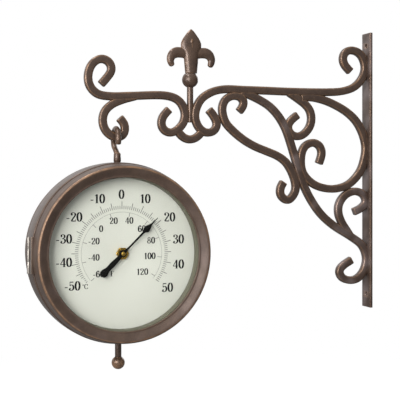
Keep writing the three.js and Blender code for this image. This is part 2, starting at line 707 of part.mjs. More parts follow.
function fixingNut() {
  const hex = disc(HEAD_X, HEAD_Z, FIXING.nut, 6);
  hex.holes.push(circle(HEAD_X, HEAD_Z, BUSHING.outer + GAP, SMALL));
  return plateXZ(hex, DIAL.front + 1, DIAL.front + 3.2);
}

// a plain block of the electric works, placed from the left wall of the movement
function worksBlock({ wide, high, y0, y1, foot }) {
  const [x, z] = [HEAD_X + BOARD.left, HEAD_Z + foot];
  return block(x, x + wide, y0, y1, z, z + high);
}

function buildRearDoor() {
  place("rear_bezel", otherFace(bezel()), bronze);
  place("rear_glass", otherFace(glass()), clear);
  place("rear_reveal_ring", otherFace(revealRing()), bronze);
  place("rear_retainer", otherFace(retainer()), steel);
  place("clock_dial", otherFace(dial()), cream);
  place("rear_case_leaf", otherFace(caseLeaf()), steel);
  place("rear_door_leaf", otherFace(doorLeaf()), steel);
  place("rear_hinge_pin", otherFace(hingePin()), steel);
  place("movement_case", movementCase(), plastic);
  place("movement_cover", movementCover(), plastic);
  place("battery", battery(), jacket);
  place("contact_plus", contact(1), steel);
  place("contact_minus", contact(-1), steel);
  place("circuit_board", worksBlock(BOARD), board);
  place("drive_coil", worksBlock(WINDING), copper);
  const washer = rim(BUSHING.outer + GAP, FIXING.washer, DIAL.front + 0.2, DIAL.front + 0.8);
  place("fixing_washer", turnedY(washer, SMALL), brass);
  place("fixing_nut", fixingNut(), brass);
  place("minute_arbor", minuteArbor(), brass);
  place("minute_wheel", minuteWheel(), plastic);
  place("hour_wheel", hourWheel(), plastic);
  place("setting_knob", settingKnob(), plastic);
  const minuteDeg = MINUTES_PAST * 6;
  const hourDeg = HOURS_PAST * 30 + MINUTES_PAST * 0.5;
  const [tube, arbor] = [HOUR.tube + HAND.fit, MINUTE.arbor + HAND.fit];
  place("hour_hand", hand(HOUR.long, 4.2, 15, tube, HOUR.hand, hourDeg), black);
  place("minute_hand", hand(MINUTE.long, 2.8, 20, arbor, MINUTE.hand, minuteDeg), black);
}

buildBracket();
place("finial_ball", finialBall(), bronze);
place("finial", finial(), bronze);
buildHead();
buildFrontDoor();
buildRearDoor();

export default group;
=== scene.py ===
# %% [markdown]
# # A two-faced bracket clock, dressed over its frame
# The real thing is a wall bracket of bent square rods with a round drum hanging from it. One face
# of the drum is a dial thermometer, the other a clock. The packed frame already holds every piece at
# its place and size, with its joints. This notebook only gives those pieces their looks, so it starts
# by loading the frame and keeping its box, to compare with the finished model at the end.

# %% Load the frame
import itertools
import json
import math

import bmesh
import bpy
import numpy as np
from mathutils import Matrix, Vector


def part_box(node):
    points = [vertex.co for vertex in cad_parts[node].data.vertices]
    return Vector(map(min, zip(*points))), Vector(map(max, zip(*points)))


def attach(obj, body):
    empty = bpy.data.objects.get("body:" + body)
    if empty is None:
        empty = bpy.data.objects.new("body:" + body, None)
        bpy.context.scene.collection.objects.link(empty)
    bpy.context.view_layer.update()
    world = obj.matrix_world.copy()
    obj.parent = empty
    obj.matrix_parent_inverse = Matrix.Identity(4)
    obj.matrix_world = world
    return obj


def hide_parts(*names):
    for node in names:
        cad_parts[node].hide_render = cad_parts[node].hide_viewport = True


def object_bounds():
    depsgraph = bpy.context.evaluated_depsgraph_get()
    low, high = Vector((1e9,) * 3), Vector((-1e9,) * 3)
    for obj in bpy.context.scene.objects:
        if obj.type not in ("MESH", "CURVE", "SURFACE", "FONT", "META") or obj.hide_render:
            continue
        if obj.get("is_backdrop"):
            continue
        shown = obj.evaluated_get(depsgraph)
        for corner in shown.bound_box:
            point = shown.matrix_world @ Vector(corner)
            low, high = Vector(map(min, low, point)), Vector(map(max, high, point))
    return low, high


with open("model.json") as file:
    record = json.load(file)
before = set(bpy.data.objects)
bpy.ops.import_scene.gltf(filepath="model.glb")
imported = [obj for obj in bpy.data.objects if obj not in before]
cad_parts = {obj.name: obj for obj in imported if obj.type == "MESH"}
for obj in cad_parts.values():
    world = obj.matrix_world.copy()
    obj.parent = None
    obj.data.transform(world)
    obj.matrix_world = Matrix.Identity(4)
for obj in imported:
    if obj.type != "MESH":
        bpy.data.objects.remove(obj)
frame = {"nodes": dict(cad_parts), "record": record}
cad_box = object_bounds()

print("nodes:", len(frame["nodes"]), "box in m:", [round(c, 4) for p in cad_box for c in p])

# %% [markdown]
# ## Places and sizes
# Blender works in metres and a clockmaker in millimetres. All sizes below are millimetres, and the
# one factor MM turns them into metres where a mesh is made. Places come from the frame's own boxes,
# so nothing can drift away from the solids that it dresses.

# %% Places taken from the frame
MM = 0.001


def box_of(node):
    low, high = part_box(node)
    return np.array(low) / MM, np.array(high) / MM


def middle(node):
    low, high = box_of(node)
    return (low + high) / 2


def put(name, data):
    """An object that holds data, in the scene."""
    made = bpy.data.objects.new(name, data)
    bpy.context.scene.collection.objects.link(made)
    return made


HEAD_X, _, HEAD_Z = middle("case_band")
PIN_X = middle("finial_pin")[0]
DROP_X = middle("drop_rod")[0]
print("drum centre:", round(HEAD_X, 2), round(HEAD_Z, 2), "finial:", round(PIN_X, 2))

# %% [markdown]
# ## Camera
# A catalogue picture of such a piece is taken level, from about a metre, a little to one side, so
# that the drum's depth shows. The horizon is raised with the lens shift and not by tilting, because
# tilting would make the upright wall plate lean.

# %% Camera
FRAME_SIDE = 400
FOCAL_PIXELS = 1094.1
HORIZON_ABOVE_MIDDLE = 27.1
SENSOR = 36.0
CAMERA_YAW = math.radians(-17.93)

camera_data = bpy.data.cameras.new("camera")
camera_data.sensor_width = SENSOR
camera_data.lens = FOCAL_PIXELS / FRAME_SIDE * SENSOR
camera_data.shift_y = -HORIZON_ABOVE_MIDDLE / FRAME_SIDE
camera_data.clip_start = 0.05
camera = put("camera", camera_data)
camera.location = Vector((-502.8, -1000.0, -2.8)) * MM
camera.rotation_euler = (math.pi / 2, 0, CAMERA_YAW)
bpy.context.scene.camera = camera
print("lens in mm:", round(camera_data.lens, 1))

# %% [markdown]
# ## Shader maths as Python
# A finish is a graph of nodes, which is hard to read as calls. The class Wire below wraps one output
# socket and overloads the operators, so that a mask reads as `1 - edge * 0.5`. Every other node is
# made by one method, `node`, from its type, its settings and the values or wires of its sockets.

# %% Wires and finishes
def maths(operation, swapped=False):
    """A method that puts a Math node on a wire and on another wire or a number."""

    def method(self, other):
        pair = (other, self) if swapped else (self, other)
        return self.tree.node("Math", {"operation": operation}, dict(enumerate(pair)))

    return method


class Wire:
    """One output socket, used in Python expressions."""

    def __init__(self, tree, socket):
        self.tree, self.socket = tree, socket

    __add__, __radd__ = maths("ADD"), maths("ADD", True)
    __sub__, __rsub__ = maths("SUBTRACT"), maths("SUBTRACT", True)
    __mul__, __rmul__ = maths("MULTIPLY"), maths("MULTIPLY", True)
    most = maths("MAXIMUM")


class Tree:
    """A node tree that is written as expressions."""

    def __init__(self, node_tree):
        self.nodes, self.links = node_tree.nodes, node_tree.links
        self.nodes.clear()

    def node(self, kind, settings=None, sockets=None, output=0):
        made = self.nodes.new("ShaderNode" + kind)
        for name, value in (settings or {}).items():
            setattr(made, name, value)
        for name, value in (sockets or {}).items():
            socket = made.inputs[name]
            if isinstance(value, Wire):
                self.links.new(value.socket, socket)
            else:
                socket.default_value = (*value, 1.0) if socket.type == "RGBA" else value
        return Wire(self, made.outputs[output]) if made.outputs else None

    def colours(self, first, second, share):
        """A colour between two others: Mix keeps it a colour, which Math would not."""
        return self.node("Mix", {"data_type": "RGBA"}, {0: share, 6: first, 7: second}, 2)

    def place(self, stretch=(1, 1, 1)):
        """Where the surface point was at rest, in metres, times a stretch."""
        here = self.node("TexCoord", output=3)
        return self.node("VectorMath", {"operation": "MULTIPLY"}, {0: here, 1: stretch})

    def mottle(self, size, detail=3.0, stretch=(1, 1, 1)):
        """Soft noise whose patches are about size millimetres wide, from 0 to 1."""
        sockets = {"Vector": self.place(stretch), "Scale": 1 / (size * MM), "Detail": detail}
        return self.node("TexNoise", {}, sockets)

    def step(self, value, low, high):
        """0 below low, 1 above high, smooth between."""
        settings = {"interpolation_type": "SMOOTHSTEP"}
        return self.node("MapRange", settings, {0: value, 1: low, 2: high, 3: 0.0, 4: 1.0})

    def painted(self, name):
        """A number that the mesh carries at each of its points."""
        return self.node("Attribute", {"attribute_name": name}, output=2)

    def lean(self, way, heading=1):
        """How much the resting surface faces way, -1 to 1. In a world, with heading 0, the ray does."""
        sockets = {0: self.node("TexCoord", output=heading), 1: way}
        return self.node("VectorMath", {"operation": "DOT_PRODUCT"}, sockets, 1)

    def bump(self, height, depth):
        """A normal bent by a height map that is depth millimetres high."""
        sockets = {"Height": height, "Strength": 1.0, "Distance": depth * MM}
        return self.node("Bump", {}, sockets)


def material_of(name, build):
    """A material whose surface is the shader that build(tree) returns."""
    material = bpy.data.materials.new(name)
    material.use_nodes = True
    tree = Tree(material.node_tree)
    tree.node("OutputMaterial", {}, {"Surface": build(tree)})
    return material


def finish(name, look, *shades, **how):
    """A material whose Principled shader has the sockets that look returns."""
    return material_of(name, lambda tree: tree.node("BsdfPrincipled", {}, look(tree, *shades, **how)))


print("operators:", [n for n in vars(Wire) if n.startswith("__") and n != "__init__"][:8])

# %% [markdown]
# ## Light and background
# The picture is a cut-out on white under soft lamps from the upper left. The room itself is brighter
# above, in front and to the left, which models round bars far better than an even grey does. The
# white is only painted on what the camera, a mirror or a window looks at, by Light Path, so that it
# adds no light to the object. Under the object the floor is lit for real, which keeps the shadow, and
# further out it goes over into plain white, so that no horizon shows.

# %% World, floor and lamps
WHITE = (1, 1, 1)
ROOM_LOW, ROOM_HIGH = (0.09, 0.09, 0.095), (0.68, 0.68, 0.68)
BRIGHT_WAY, BRIGHT_FROM_TO = (-0.5, -0.42, 0.76), (-0.7, 0.9)
PAPER_WAY, PAPER_FROM_TO = (-0.2, 0.7, 0.68), (0.3, 1.02)


def looked_at(tree, mirrored):
    """1 for rays from the camera and through glass, and the share mirrored for rays from a mirror."""
    camera_ray, mirror_ray, glass_ray = (tree.node("LightPath", output=i) for i in (0, 3, 6))
    return camera_ray.most(mirror_ray * mirrored).most(glass_ray)


world = bpy.data.worlds.new("studio")
bpy.context.scene.world = world
world.use_nodes = True
sky = Tree(world.node_tree)
room_tone = sky.colours(ROOM_LOW, ROOM_HIGH, sky.step(sky.lean(BRIGHT_WAY, 0), *BRIGHT_FROM_TO))
room = sky.node("Background", {}, {"Color": room_tone, "Strength": 1.0})
paper = sky.node("Background", {}, {"Color": WHITE, "Strength": 1.0})
seen_share = looked_at(sky, sky.step(sky.lean(PAPER_WAY, 0), *PAPER_FROM_TO))
both = sky.node("MixShader", {}, {0: seen_share, 1: room, 2: paper})
sky.node("OutputWorld", {}, {"Surface": both})

FLOOR_DROP, FLOOR_HALF = 0.34, 6.0
SHADOW_REACH = (0.35, 1.0)


def floor_look(tree):
    """Grey for what the object sees; for the camera lit for real, and plain white further out."""
    plain, lit = (tree.node("BsdfDiffuse", {}, {"Color": (grey,) * 3}) for grey in (0.2, 0.42))
    glow, far = (tree.node("Emission", {}, {"Color": WHITE, "Strength": s}) for s in (0.66, 1.0))
    near = tree.node("AddShader", {}, {0: lit, 1: glow})
    from_middle = tree.node("VectorMath", {"operation": "LENGTH"}, {0: tree.place()}, 1)
    ground = tree.node("MixShader", {}, {0: tree.step(from_middle, *SHADOW_REACH), 1: near, 2: far})
    return tree.node("MixShader", {}, {0: looked_at(tree, 0.12), 1: plain, 2: ground})


def lamp(name, toward, distance, wide, high, power):
    """A soft box. toward is where it stands, as seen from the camera: right, up, nearer."""
    right = Vector((math.cos(CAMERA_YAW), math.sin(CAMERA_YAW), 0))
    nearer = Vector((math.sin(CAMERA_YAW), -math.cos(CAMERA_YAW), 0))
    way = (right * toward[0] + Vector((0, 0, 1)) * toward[1] + nearer * toward[2]).normalized()
    light = bpy.data.lights.new(name, "AREA")
    light.shape, light.size, light.size_y = "RECTANGLE", wide, high
    light.energy = power
    holder = put(name, light)
    holder.location = Vector((-0.2, 0, -0.02)) + way * distance
    holder.rotation_mode = "QUATERNION"
    holder.rotation_quaternion = (-way).to_track_quat("-Z", "Y")
    holder.visible_camera = False


floor_mesh = bpy.data.meshes.new("floor")
corners = [(x * FLOOR_HALF, y * FLOOR_HALF, 0) for x, y in ((-1, -1), (1, -1), (1, 1), (-1, 1))]
floor_mesh.from_pydata(corners, [], [(0, 1, 2, 3)])
floor_mesh.materials.append(material_of("pale_floor", floor_look))
floor = put("floor", floor_mesh)
floor.location = (HEAD_X * MM / 2, 0, -FLOOR_DROP)
floor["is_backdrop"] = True
lamp("key_lamp", (-0.46, 0.31, 1.0), 1.35, 0.85, 0.85, 15.5)
lamp("front_strip", (-0.27, 0.02, 1.0), 1.3, 0.1, 0.5, 2.2)
lamp("strip_lamp", (-0.82, -0.04, 0.55), 1.4, 0.08, 1.1, 6.0)
lamp("top_lamp", (-0.4, 1.0, 0.1), 1.3, 1.3, 0.25, 10.0)
lamp("back_lamp", (0.55, 0.4, -1.0), 1.7, 1.0, 1.0, 8.0)
bpy.context.scene.view_settings.view_transform = "Standard"

# %% [markdown]
# ## Finishes for the ironwork
# The bracket and the drum wear the same finish: steel coloured a warm dark brown, waxed, and rubbed
# through to copper along the corners. Three things make it read as metal and not as brown paint:
# cloudy patches of two browns, a sheen that changes from patch to patch, and bright corners. The
# copper on the corners is partly wear and partly a painted highlight, strongest where a corner faces
# the lamps at the upper left; corners that face away get a painted shade. The corners are not guessed
# by the shader. Each mesh carries a number that says how sharply the surface bends outwards there,
# measured from its own faces in a later cell.

# %% Antique bronze
DARK_BROWN = (0.049, 0.0315, 0.0245)
WARM_BROWN = (0.098, 0.062, 0.0435)
COPPER_EDGE = (0.41, 0.225, 0.115)
# Grey dust that also stands in for light: it brightens the plate and spine that the lamps reach less, as painted
# light.
DUST_AND_PAINTED_LIGHT_GREY = (0.17, 0.133, 0.127)
# A painted shade colour: corners that face away from the lamps are darkened with it.
EDGE_SHADE_DARK = (0.012, 0.008, 0.007)
# The way towards the lamps, upper left and front: corners facing it get the painted highlight, corners facing
# away the painted shade.
LAMP_SIDE_WAY = (-0.45, -0.3, 0.84)


def antique(tree, warmth=0.5, dust=0.0, copper=0.42, polish=0.0, satin=0.31, pitted=0.028):
    """The bronze finish: warmth moves it to the copper side, dust (partly painted light) to the grey side,
    polish bares it. Corners get copper wear with a painted highlight towards the lamps and a painted shade away
    from them.
    """
    clouds = tree.step(tree.mottle(11, 4), 0.3, 0.7)
    specks = tree.step(tree.mottle(1.4, 2), 0.35, 0.7)
    drawn = tree.mottle(5, 2, (1, 0.25, 1))
    tone = clouds * 0.35 + specks * 0.25 + drawn * 0.4 + (warmth - 0.5)
    metal = tree.colours(DARK_BROWN, WARM_BROWN, tone)
    # Grey dust patches, partly painted light that brightens the surface.
    metal = tree.colours(metal, DUST_AND_PAINTED_LIGHT_GREY, tree.step(tree.mottle(22, 2), 0.4, 0.75) * dust)
    edge_bend = tree.painted("edge_bend")
    upper = tree.step(tree.lean(LAMP_SIDE_WAY), -0.45, 0.35)
    # Painted shade: corners that face away from the lamps are darkened.
    metal = tree.colours(metal, EDGE_SHADE_DARK, edge_bend * (1 - upper) * 0.8)
    patches = tree.step(tree.mottle(6), 0.36, 0.66) * 0.6 + 0.4
    # Copper wear on the corners with a painted highlight: it is strongest on corners that face the lamps.
    wear_and_highlight = edge_bend * patches * copper * (upper * 0.85 + 0.15) + specks * edge_bend * 0.06
    wear_and_highlight = wear_and_highlight + clouds * polish + specks * polish * 0.5
    grain = tree.mottle(0.9) * 0.5 + tree.mottle(3.2, 2) * 0.5
    return {
        "Base Color": tree.colours(metal, COPPER_EDGE, wear_and_highlight),
        "Metallic": 0.35,
        "Specular IOR Level": 0.5,
        "Roughness": satin + drawn * 0.12 - wear_and_highlight * 0.14 - specks * 0.05,
        "Normal": tree.bump(grain, pitted),
    }


bronze = finish("antique_bronze", antique)
# Dusty bronze for the plate, spine and foot: its grey is partly dust and partly painted light.
dusty_bronze = finish("dusty_bronze", antique, warmth=0.45, dust=0.95, copper=0.3)
turned_bronze = finish("turned_bronze", antique, copper=0.5, polish=0.04, satin=0.26, pitted=0.009)
copper_ball = finish("rubbed_copper", antique, warmth=1.1, polish=0.42, satin=0.28, pitted=0.012)
# The ridge's copper line is wear and a painted highlight, strongest on the lamp side.
ridge_bronze = finish("ridge_wear_and_highlight", antique, warmth=0.68, dust=0.2, copper=0.7, satin=0.42, pitted=0.02)

# %% [markdown]
# ## Plain metals and moulded parts
# The smaller metals are simpler: turned brass and zinc-plated steel get fine brushed streaks, because
# a real washer or nut is never a clean mirror. The black of hands and print is a lacquer, and the
# moulded works get the slight orange-peel that an injection mould leaves.

# %% Brass, steel, lacquer, plastic
def streaked(tree, first, second, rough):
    """Metal with fine streaks of two shades, squeezed along y."""
    streaks = tree.mottle(1.2, 3, (1, 8, 1))
    stain = tree.step(tree.mottle(8.4), 0.35, 0.7)
    edge_bend = tree.painted("edge_bend")
    return {
        "Base Color": tree.colours(first, second, streaks * 0.6 + stain * 0.4 - edge_bend * 0.3),
        "Metallic": 1.0,
        "Roughness": rough + streaks * 0.14 + stain * 0.05 - edge_bend * 0.08,
        "Normal": tree.bump(streaks, 0.02),
    }


def moulded(tree, first, second, rough, grain=0.7, depth=0.03, gloss=0.5):
    """Lacquer or plastic: two near shades, an even sheen and a fine grain."""
    fine = tree.mottle(grain, 2)
    return {
        "Base Color": tree.colours(first, second, tree.mottle(9) * 0.7 + fine * 0.3),
        "Roughness": rough + fine * 0.12,
        "Specular IOR Level": gloss,
        "Normal": tree.bump(fine, depth),
    }


brass = finish("brass", streaked, (0.52, 0.33, 0.07), (0.25, 0.14, 0.025), 0.24)
hinge_metal = finish("worn_hinge", streaked, (0.34, 0.31, 0.28), (0.27, 0.24, 0.215), 0.4)
steel = finish("bright_steel", streaked, (0.56, 0.55, 0.53), (0.33, 0.32, 0.31), 0.3)
winding = finish("copper_winding", streaked, (0.68, 0.33, 0.17), (0.42, 0.17, 0.08), 0.3)
lacquer = finish("black_pointer", moulded, (0.004, 0.004, 0.004), (0.008, 0.008, 0.007), 0.4, gloss=0.08)
print_ink = finish("black_print", moulded, (0.013, 0.013, 0.014), (0.022, 0.022, 0.022), 0.6, gloss=0.1)
grey_ink = finish("grey_print", moulded, (0.17, 0.17, 0.155), (0.21, 0.21, 0.19), 0.6, gloss=0.1)
# Painted shade: a near-black for the groove between band and bezel, where shade falls.
painted_seam_shade = finish("painted_seam_shade", moulded, (0.009, 0.007, 0.006), (0.017, 0.013, 0.011), 0.75, gloss=0.06)
plastic = finish("dark_plastic", moulded, (0.014, 0.015, 0.018), (0.024, 0.025, 0.03), 0.42)
cream = finish("cream_dial", moulded, (0.71, 0.71, 0.64), (0.67, 0.672, 0.597), 0.5, grain=1.5, depth=0.01)
print("finishes:", len(bpy.data.materials))

# %% [markdown]
# ## From points to pieces
# Every piece below is made from points worked out in millimetres. One function turns them into a
# mesh, makes the faces look outwards and shades it smooth except at real corners. It also measures
# the bending of the surface for the copper wear and for the painted highlight and painted shade on
# corners: the angle between two faces, shared out over the distance between their middles. Another
# ties the mesh to the moving body of the frame node it stands for, and hides that node unless it is to stay.

# %% Making and tying a piece
RECORD = frame["record"]
BODY_OF = {node: body for body, nodes in RECORD["behaviour"]["bodies"].items() for node in nodes}
SHARP = 38.0


def solid(name, points, faces, material):
    """A mesh object from points in millimetres."""
    mesh = bpy.data.meshes.new(name)
    mesh.from_pydata((np.asarray(points, float) * MM).tolist(), [], faces)
    mesh.materials.append(material)
    made = put(name, mesh)
    tidy_mesh(made)
    return made


def tidy_mesh(made, sharp=SHARP):
    """Faces outwards, smooth shading with crisp corners, and at each point how sharply it bends outwards, for
    wear, painted highlight and painted shade.
    """
    shape = bmesh.new()
    shape.from_mesh(made.data)
    bmesh.ops.remove_doubles(shape, verts=shape.verts, dist=1e-6)
    bmesh.ops.recalc_face_normals(shape, faces=shape.faces)
    bends = np.zeros(len(shape.verts))
    shape.verts.index_update()
    for face in shape.faces:
        face.smooth = True
    for edge in shape.edges:
        if len(edge.link_faces) != 2:
            continue
        angle = edge.calc_face_angle_signed(0.0)
        edge.smooth = abs(angle) < math.radians(sharp)
        one, two = (face.calc_center_median() for face in edge.link_faces)
        along = (edge.verts[1].co - edge.verts[0].co).normalized()
        across = (one - two) - along * (one - two).dot(along)
        bend = angle / max(across.length / MM, 0.05)
        for vert in edge.verts:
            bends[vert.index] = max(bends[vert.index], bend)
    shape.to_mesh(made.data)
    shape.free()
    share = np.clip((bends - 0.3) / 0.4, 0, 1)
    layer = made.data.attributes.get("edge_bend") or made.data.attributes.new("edge_bend", "FLOAT", "POINT")
    layer.data.foreach_set("value", (share * share * (3 - 2 * share)).astype(np.float32))


def fit(made, node, slot=None):
    """The piece moves with the node's body, and takes its place unless it has a slot of its own."""
    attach(made, BODY_OF[node])
    if not slot:
        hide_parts(node)


# %% [markdown]
# ## Bent rods
# The scrolls are one square bar with rolled corners, heated and bent round a jig. Each is swept along
# the smooth line through its own few points. The line is cut into equal steps, so that the facets
# stay the same size in tight and in wide bends, and its ends are drawn in a little, as a cropped and
# tumbled bar is.

# %% A smooth line, and a rod along it
ROD_DEEP, ROD_WIDE, ROD_ROUND = 6.9, 7.8, 1.8
ROD_STEP, ROD_EASED = 1.3, 5
CROPPED = 0.8


def bend_line(points, step, eased=0):
    """Equal steps along the centripetal spline through the points, its bends eased that often."""
    p = np.array(points, float)
    p = np.vstack([2 * p[0] - p[1], p, 2 * p[-1] - p[-2]])
    t = np.linspace(0, 1, 30, endpoint=False)[:, None]
    runs = []
    for a, b, c, d in zip(p, p[1:], p[2:], p[3:]):
        before, here, after = (max(np.linalg.norm(q), 1e-4) ** 0.5 for q in (b - a, c - b, d - c))
        leave = ((b - a) / before - (c - a) / (before + here) + (c - b) / here) * here
        arrive = ((c - b) / here - (d - b) / (here + after) + (d - c) / after) * here
        run = b * (2 * t**3 - 3 * t**2 + 1) + c * (3 * t**2 - 2 * t**3)
        runs.append(run + leave * (t**3 - 2 * t**2 + t) + arrive * (t**3 - t**2))
    line = np.vstack([*runs, p[-2:-1]])
    far = np.concatenate([[0], np.cumsum(np.linalg.norm(np.diff(line, axis=0), axis=1))])
    at = np.linspace(0, far[-1], max(2, round(far[-1] / step)) + 1)
    even = np.column_stack([np.interp(at, far, line[:, k]) for k in range(line.shape[1])])
    for _ in range(eased):
        even[1:-1] = even[1:-1] / 2 + (even[:-2] + even[2:]) / 4
    return even


def heading(line):
    """The way a line goes at each of its points."""
    ahead = np.gradient(line, axis=0)
    return ahead / np.linalg.norm(ahead, axis=1)[:, None]


def rolled_bar(width, depth, round_off, arc=4):
    """Section of a bar, as a function of how much is taken off all round it."""

    def section(off=0.0):
        corner = max(round_off - off, 0.12)
        across, deep = width / 2 - off, depth / 2 - off
        loop = []
        for turn, (east, north) in enumerate(((1, 1), (-1, 1), (-1, -1), (1, -1))):
            for k in range(arc + 1):
                angle = math.pi / 2 * (turn + k / arc)
                x = east * (across - corner) + corner * math.cos(angle)
                loop.append((x, north * (deep - corner) + corner * math.sin(angle)))
            middle_of_flat = math.pi / 2 * (turn + 1)
            x, y = round(math.cos(middle_of_flat)), round(math.sin(middle_of_flat))
            loop.append((across * x, deep * y))
        return np.array(loop)

    return section


def circle(count):
    """Cosines and sines of count equal steps round a circle."""
    turn = np.arange(count) * 2 * math.pi / count
    return np.cos(turn), np.sin(turn)


def skin(rings):
    """Points and faces of a closed skin over rings that have the same number of points."""
    count, faces = len(rings[0]), []
    for i in range(len(rings) - 1):
        for k in range(count):
            a, b = i * count + k, i * count + (k + 1) % count
            faces.append((a, b, b + count, a + count))
    last = (len(rings) - 1) * count
    faces += [tuple(range(count))[::-1], tuple(range(last, last + count))]
    return np.vstack(rings), faces


def swept(line, section, ends=CROPPED):
    """Points and faces of a section carried along a line of (x, z); its second axis is y."""
    line = np.asarray(line, float)
    ahead = heading(line)
    side = np.column_stack([-ahead[:, 1], ahead[:, 0]])
    stations = [(line[i], side[i], 0.0) for i in range(len(line))]
    if ends:
        steps = [(1 - math.cos(a), 1 - math.sin(a)) for a in np.linspace(0, math.pi / 2, 4)]
        first = [(line[0] + ahead[0] * f * ends, side[0], s * ends) for f, s in steps]
        last = [(line[-1] - ahead[-1] * f * ends, side[-1], s * ends) for f, s in steps[::-1]]
        stations = first + stations[1:-1] + last
    rings = []
    for centre, across, off in stations:
        wide, deep = section(off).T
        rings.append(np.column_stack([centre[0] + across[0] * wide, deep, centre[1] + across[1] * wide]))
    return skin(rings)


SCROLLS = {
    "main_scroll": [
        (-170.6, 58.2), (-165.2, 51.6), (-162.2, 44.6), (-165.4, 37.6), (-173.4, 35.9),
        (-181, 41.4), (-184.5, 52.6), (-179.4, 66.6), (-169, 74.4), (-156.4, 77.9),
        (-132.9, 77.9), (-111.4, 77.7), (-87.1, 77.3), (-43.7, 77.8), (-29.4, 79.1), (-17, 83.2),
        (-8.7, 90.9), (-4.6, 100), (-4.9, 108.1), (-10, 117.2), (-19.4, 120.5), (-26, 118.3),
        (-28.9, 111.7), (-26.8, 105.4), (-20.5, 99),
    ],
    "arm_scroll": [
        (-276.4, 79.9), (-271.1, 86), (-266.4, 93.4), (-268.6, 100.8), (-276.5, 103.8),
        (-284.9, 98.6), (-288.7, 88.1), (-287, 78), (-279.7, 70.8), (-267.7, 68.9),
        (-248.4, 69.6), (-211, 70.3), (-200.1, 65.7), (-194.5, 55), (-196.8, 43.9),
        (-207.8, 35.4), (-215.4, 38), (-218, 44.6), (-216.4, 50.6), (-210.2, 57.6),
    ],
    "spine": [
        (-137.8, 76.3), (-127.5, 72.6), (-116.2, 67.5), (-107.8, 62.5), (-99, 53.9),
        (-91.5, 42.4), (-86.5, 29.9), (-82.6, 18), (-71.1, -15.8), (-55.6, -40.7), (-40.4, -54.5),
        (-22.6, -65.2), (-17.6, -68.3), (-7.7, -75.8), (-2.8, -88.2), (-5.3, -100.5),
        (-12.5, -108.8), (-21.3, -110.6), (-30.4, -107.2), (-32.8, -100.6), (-29.1, -96),
        (-19.3, -90.1),
    ],
    "big_c_scroll": [
        (-74.5, 71.2), (-67, 72.2), (-60, 71.8), (-47.9, 69.1), (-34.9, 64), (-23.6, 57.6), (-14.9, 50),
        (-9.2, 41.6), (-5.1, 31.6), (-3.5, 21.6), (-4.7, 12.7), (-8.9, 0.2), (-16.3, -9.3),
        (-25.4, -15.7), (-41.8, -18.8), (-60.8, -14), (-72.7, -1.9), (-74, 15.4), (-69.8, 24),
        (-61.3, 27.3), (-54.6, 24.4), (-52, 18.6), (-52.6, 13.3), (-55.1, 6.4),
    ],
    "hook_scroll": [
        (-243, 69.5), (-256.6, 65.6), (-266.6, 61), (-273, 54.5), (-274.9, 46), (-272, 36.8),
        (-263.6, 30.6), (-255.8, 32.2), (-253.5, 38.2), (-254.4, 43.6), (-258.8, 48.9),
    ],
    "centre_link": [
        (-201.7, 36.8), (-196.3, 31.3), (-189.5, 29), (-182.8, 31.3), (-177.2, 37),
    ],
    "brace_scroll": [
        (-139.5, 56.7), (-135.9, 61.3), (-134.7, 66.5), (-138.3, 70.9), (-144.8, 72),
        (-153, 68.7), (-156.8, 60.5), (-154.1, 47.2), (-147.2, 39.2), (-134.9, 29.5),
        (-123.4, 23.2), (-111.4, 18.6), (-98.3, 13.3), (-89.7, 6.8), (-81.2, -9.2),
        (-80.4, -20.6), (-88.5, -30), (-96, -24.6), (-96.2, -17.6), (-92.9, -11.8),
    ],
    "small_s_scroll": [
        (-87.1, 76.5), (-75.6, 69.2), (-69.1, 64.5), (-64.8, 59.2), (-63.1, 51.6), (-64.5, 44),
        (-69.1, 37.5), (-75.2, 33.6), (-82.2, 33.8), (-87.1, 38), (-88.4, 43.3), (-85.4, 48.6),
        (-78.1, 54.5),
    ],
    "foot_scroll": [
        (-17.2, -42), (-9.1, -38.4), (-3.5, -32.6), (-5.7, -25.1), (-15.2, -21.2), (-26, -24.7),
        (-33.1, -33.8), (-33.8, -43), (-30.1, -52.6), (-25, -60), (-20.4, -66.8),
    ],
}

# %% [markdown]
# ## Cutting the rods where they meet
# Where one scroll runs into another, the smith grinds its end to the other bar's side and welds it.
# Two sweeps that simply pass into each other would share their flat front faces, which flickers in a
# render. So each rod is cut back by a slightly fatter copy of the bars that carry it, with the
# Boolean modifier, and the hairline left between them reads as the dark line of a joint.

# %% Boolean helper and the rods
HAIRLINE = 0.12
WHO_CUTS = {
    "main_scroll": ["wall_plate"],
    "arm_scroll": [],
    "hook_scroll": ["arm_scroll"],
    "spine": ["main_scroll", "wall_plate"],
    "big_c_scroll": ["main_scroll", "spine", "wall_plate"],
    "brace_scroll": ["main_scroll", "spine"],
    "small_s_scroll": ["main_scroll", "spine", "big_c_scroll"],
    "foot_scroll": ["spine", "big_c_scroll", "wall_plate"],
    "centre_link": ["main_scroll", "arm_scroll", "finial_pin"],
}


def combine(made, other, operation="DIFFERENCE"):
    """made minus, or plus, other, which is used up."""
    step = made.modifiers.new("combine", "BOOLEAN")
    step.operation, step.object, step.solver = operation, other, "EXACT"
    apply_modifiers(made)
    bpy.data.objects.remove(other)


def apply_modifiers(made):
    """Bakes the modifiers into the mesh."""
    graph = bpy.context.evaluated_depsgraph_get()
    baked = bpy.data.meshes.new_from_object(made.evaluated_get(graph))
    made.modifiers.clear()
    old, made.data = made.data, baked
    bpy.data.meshes.remove(old)


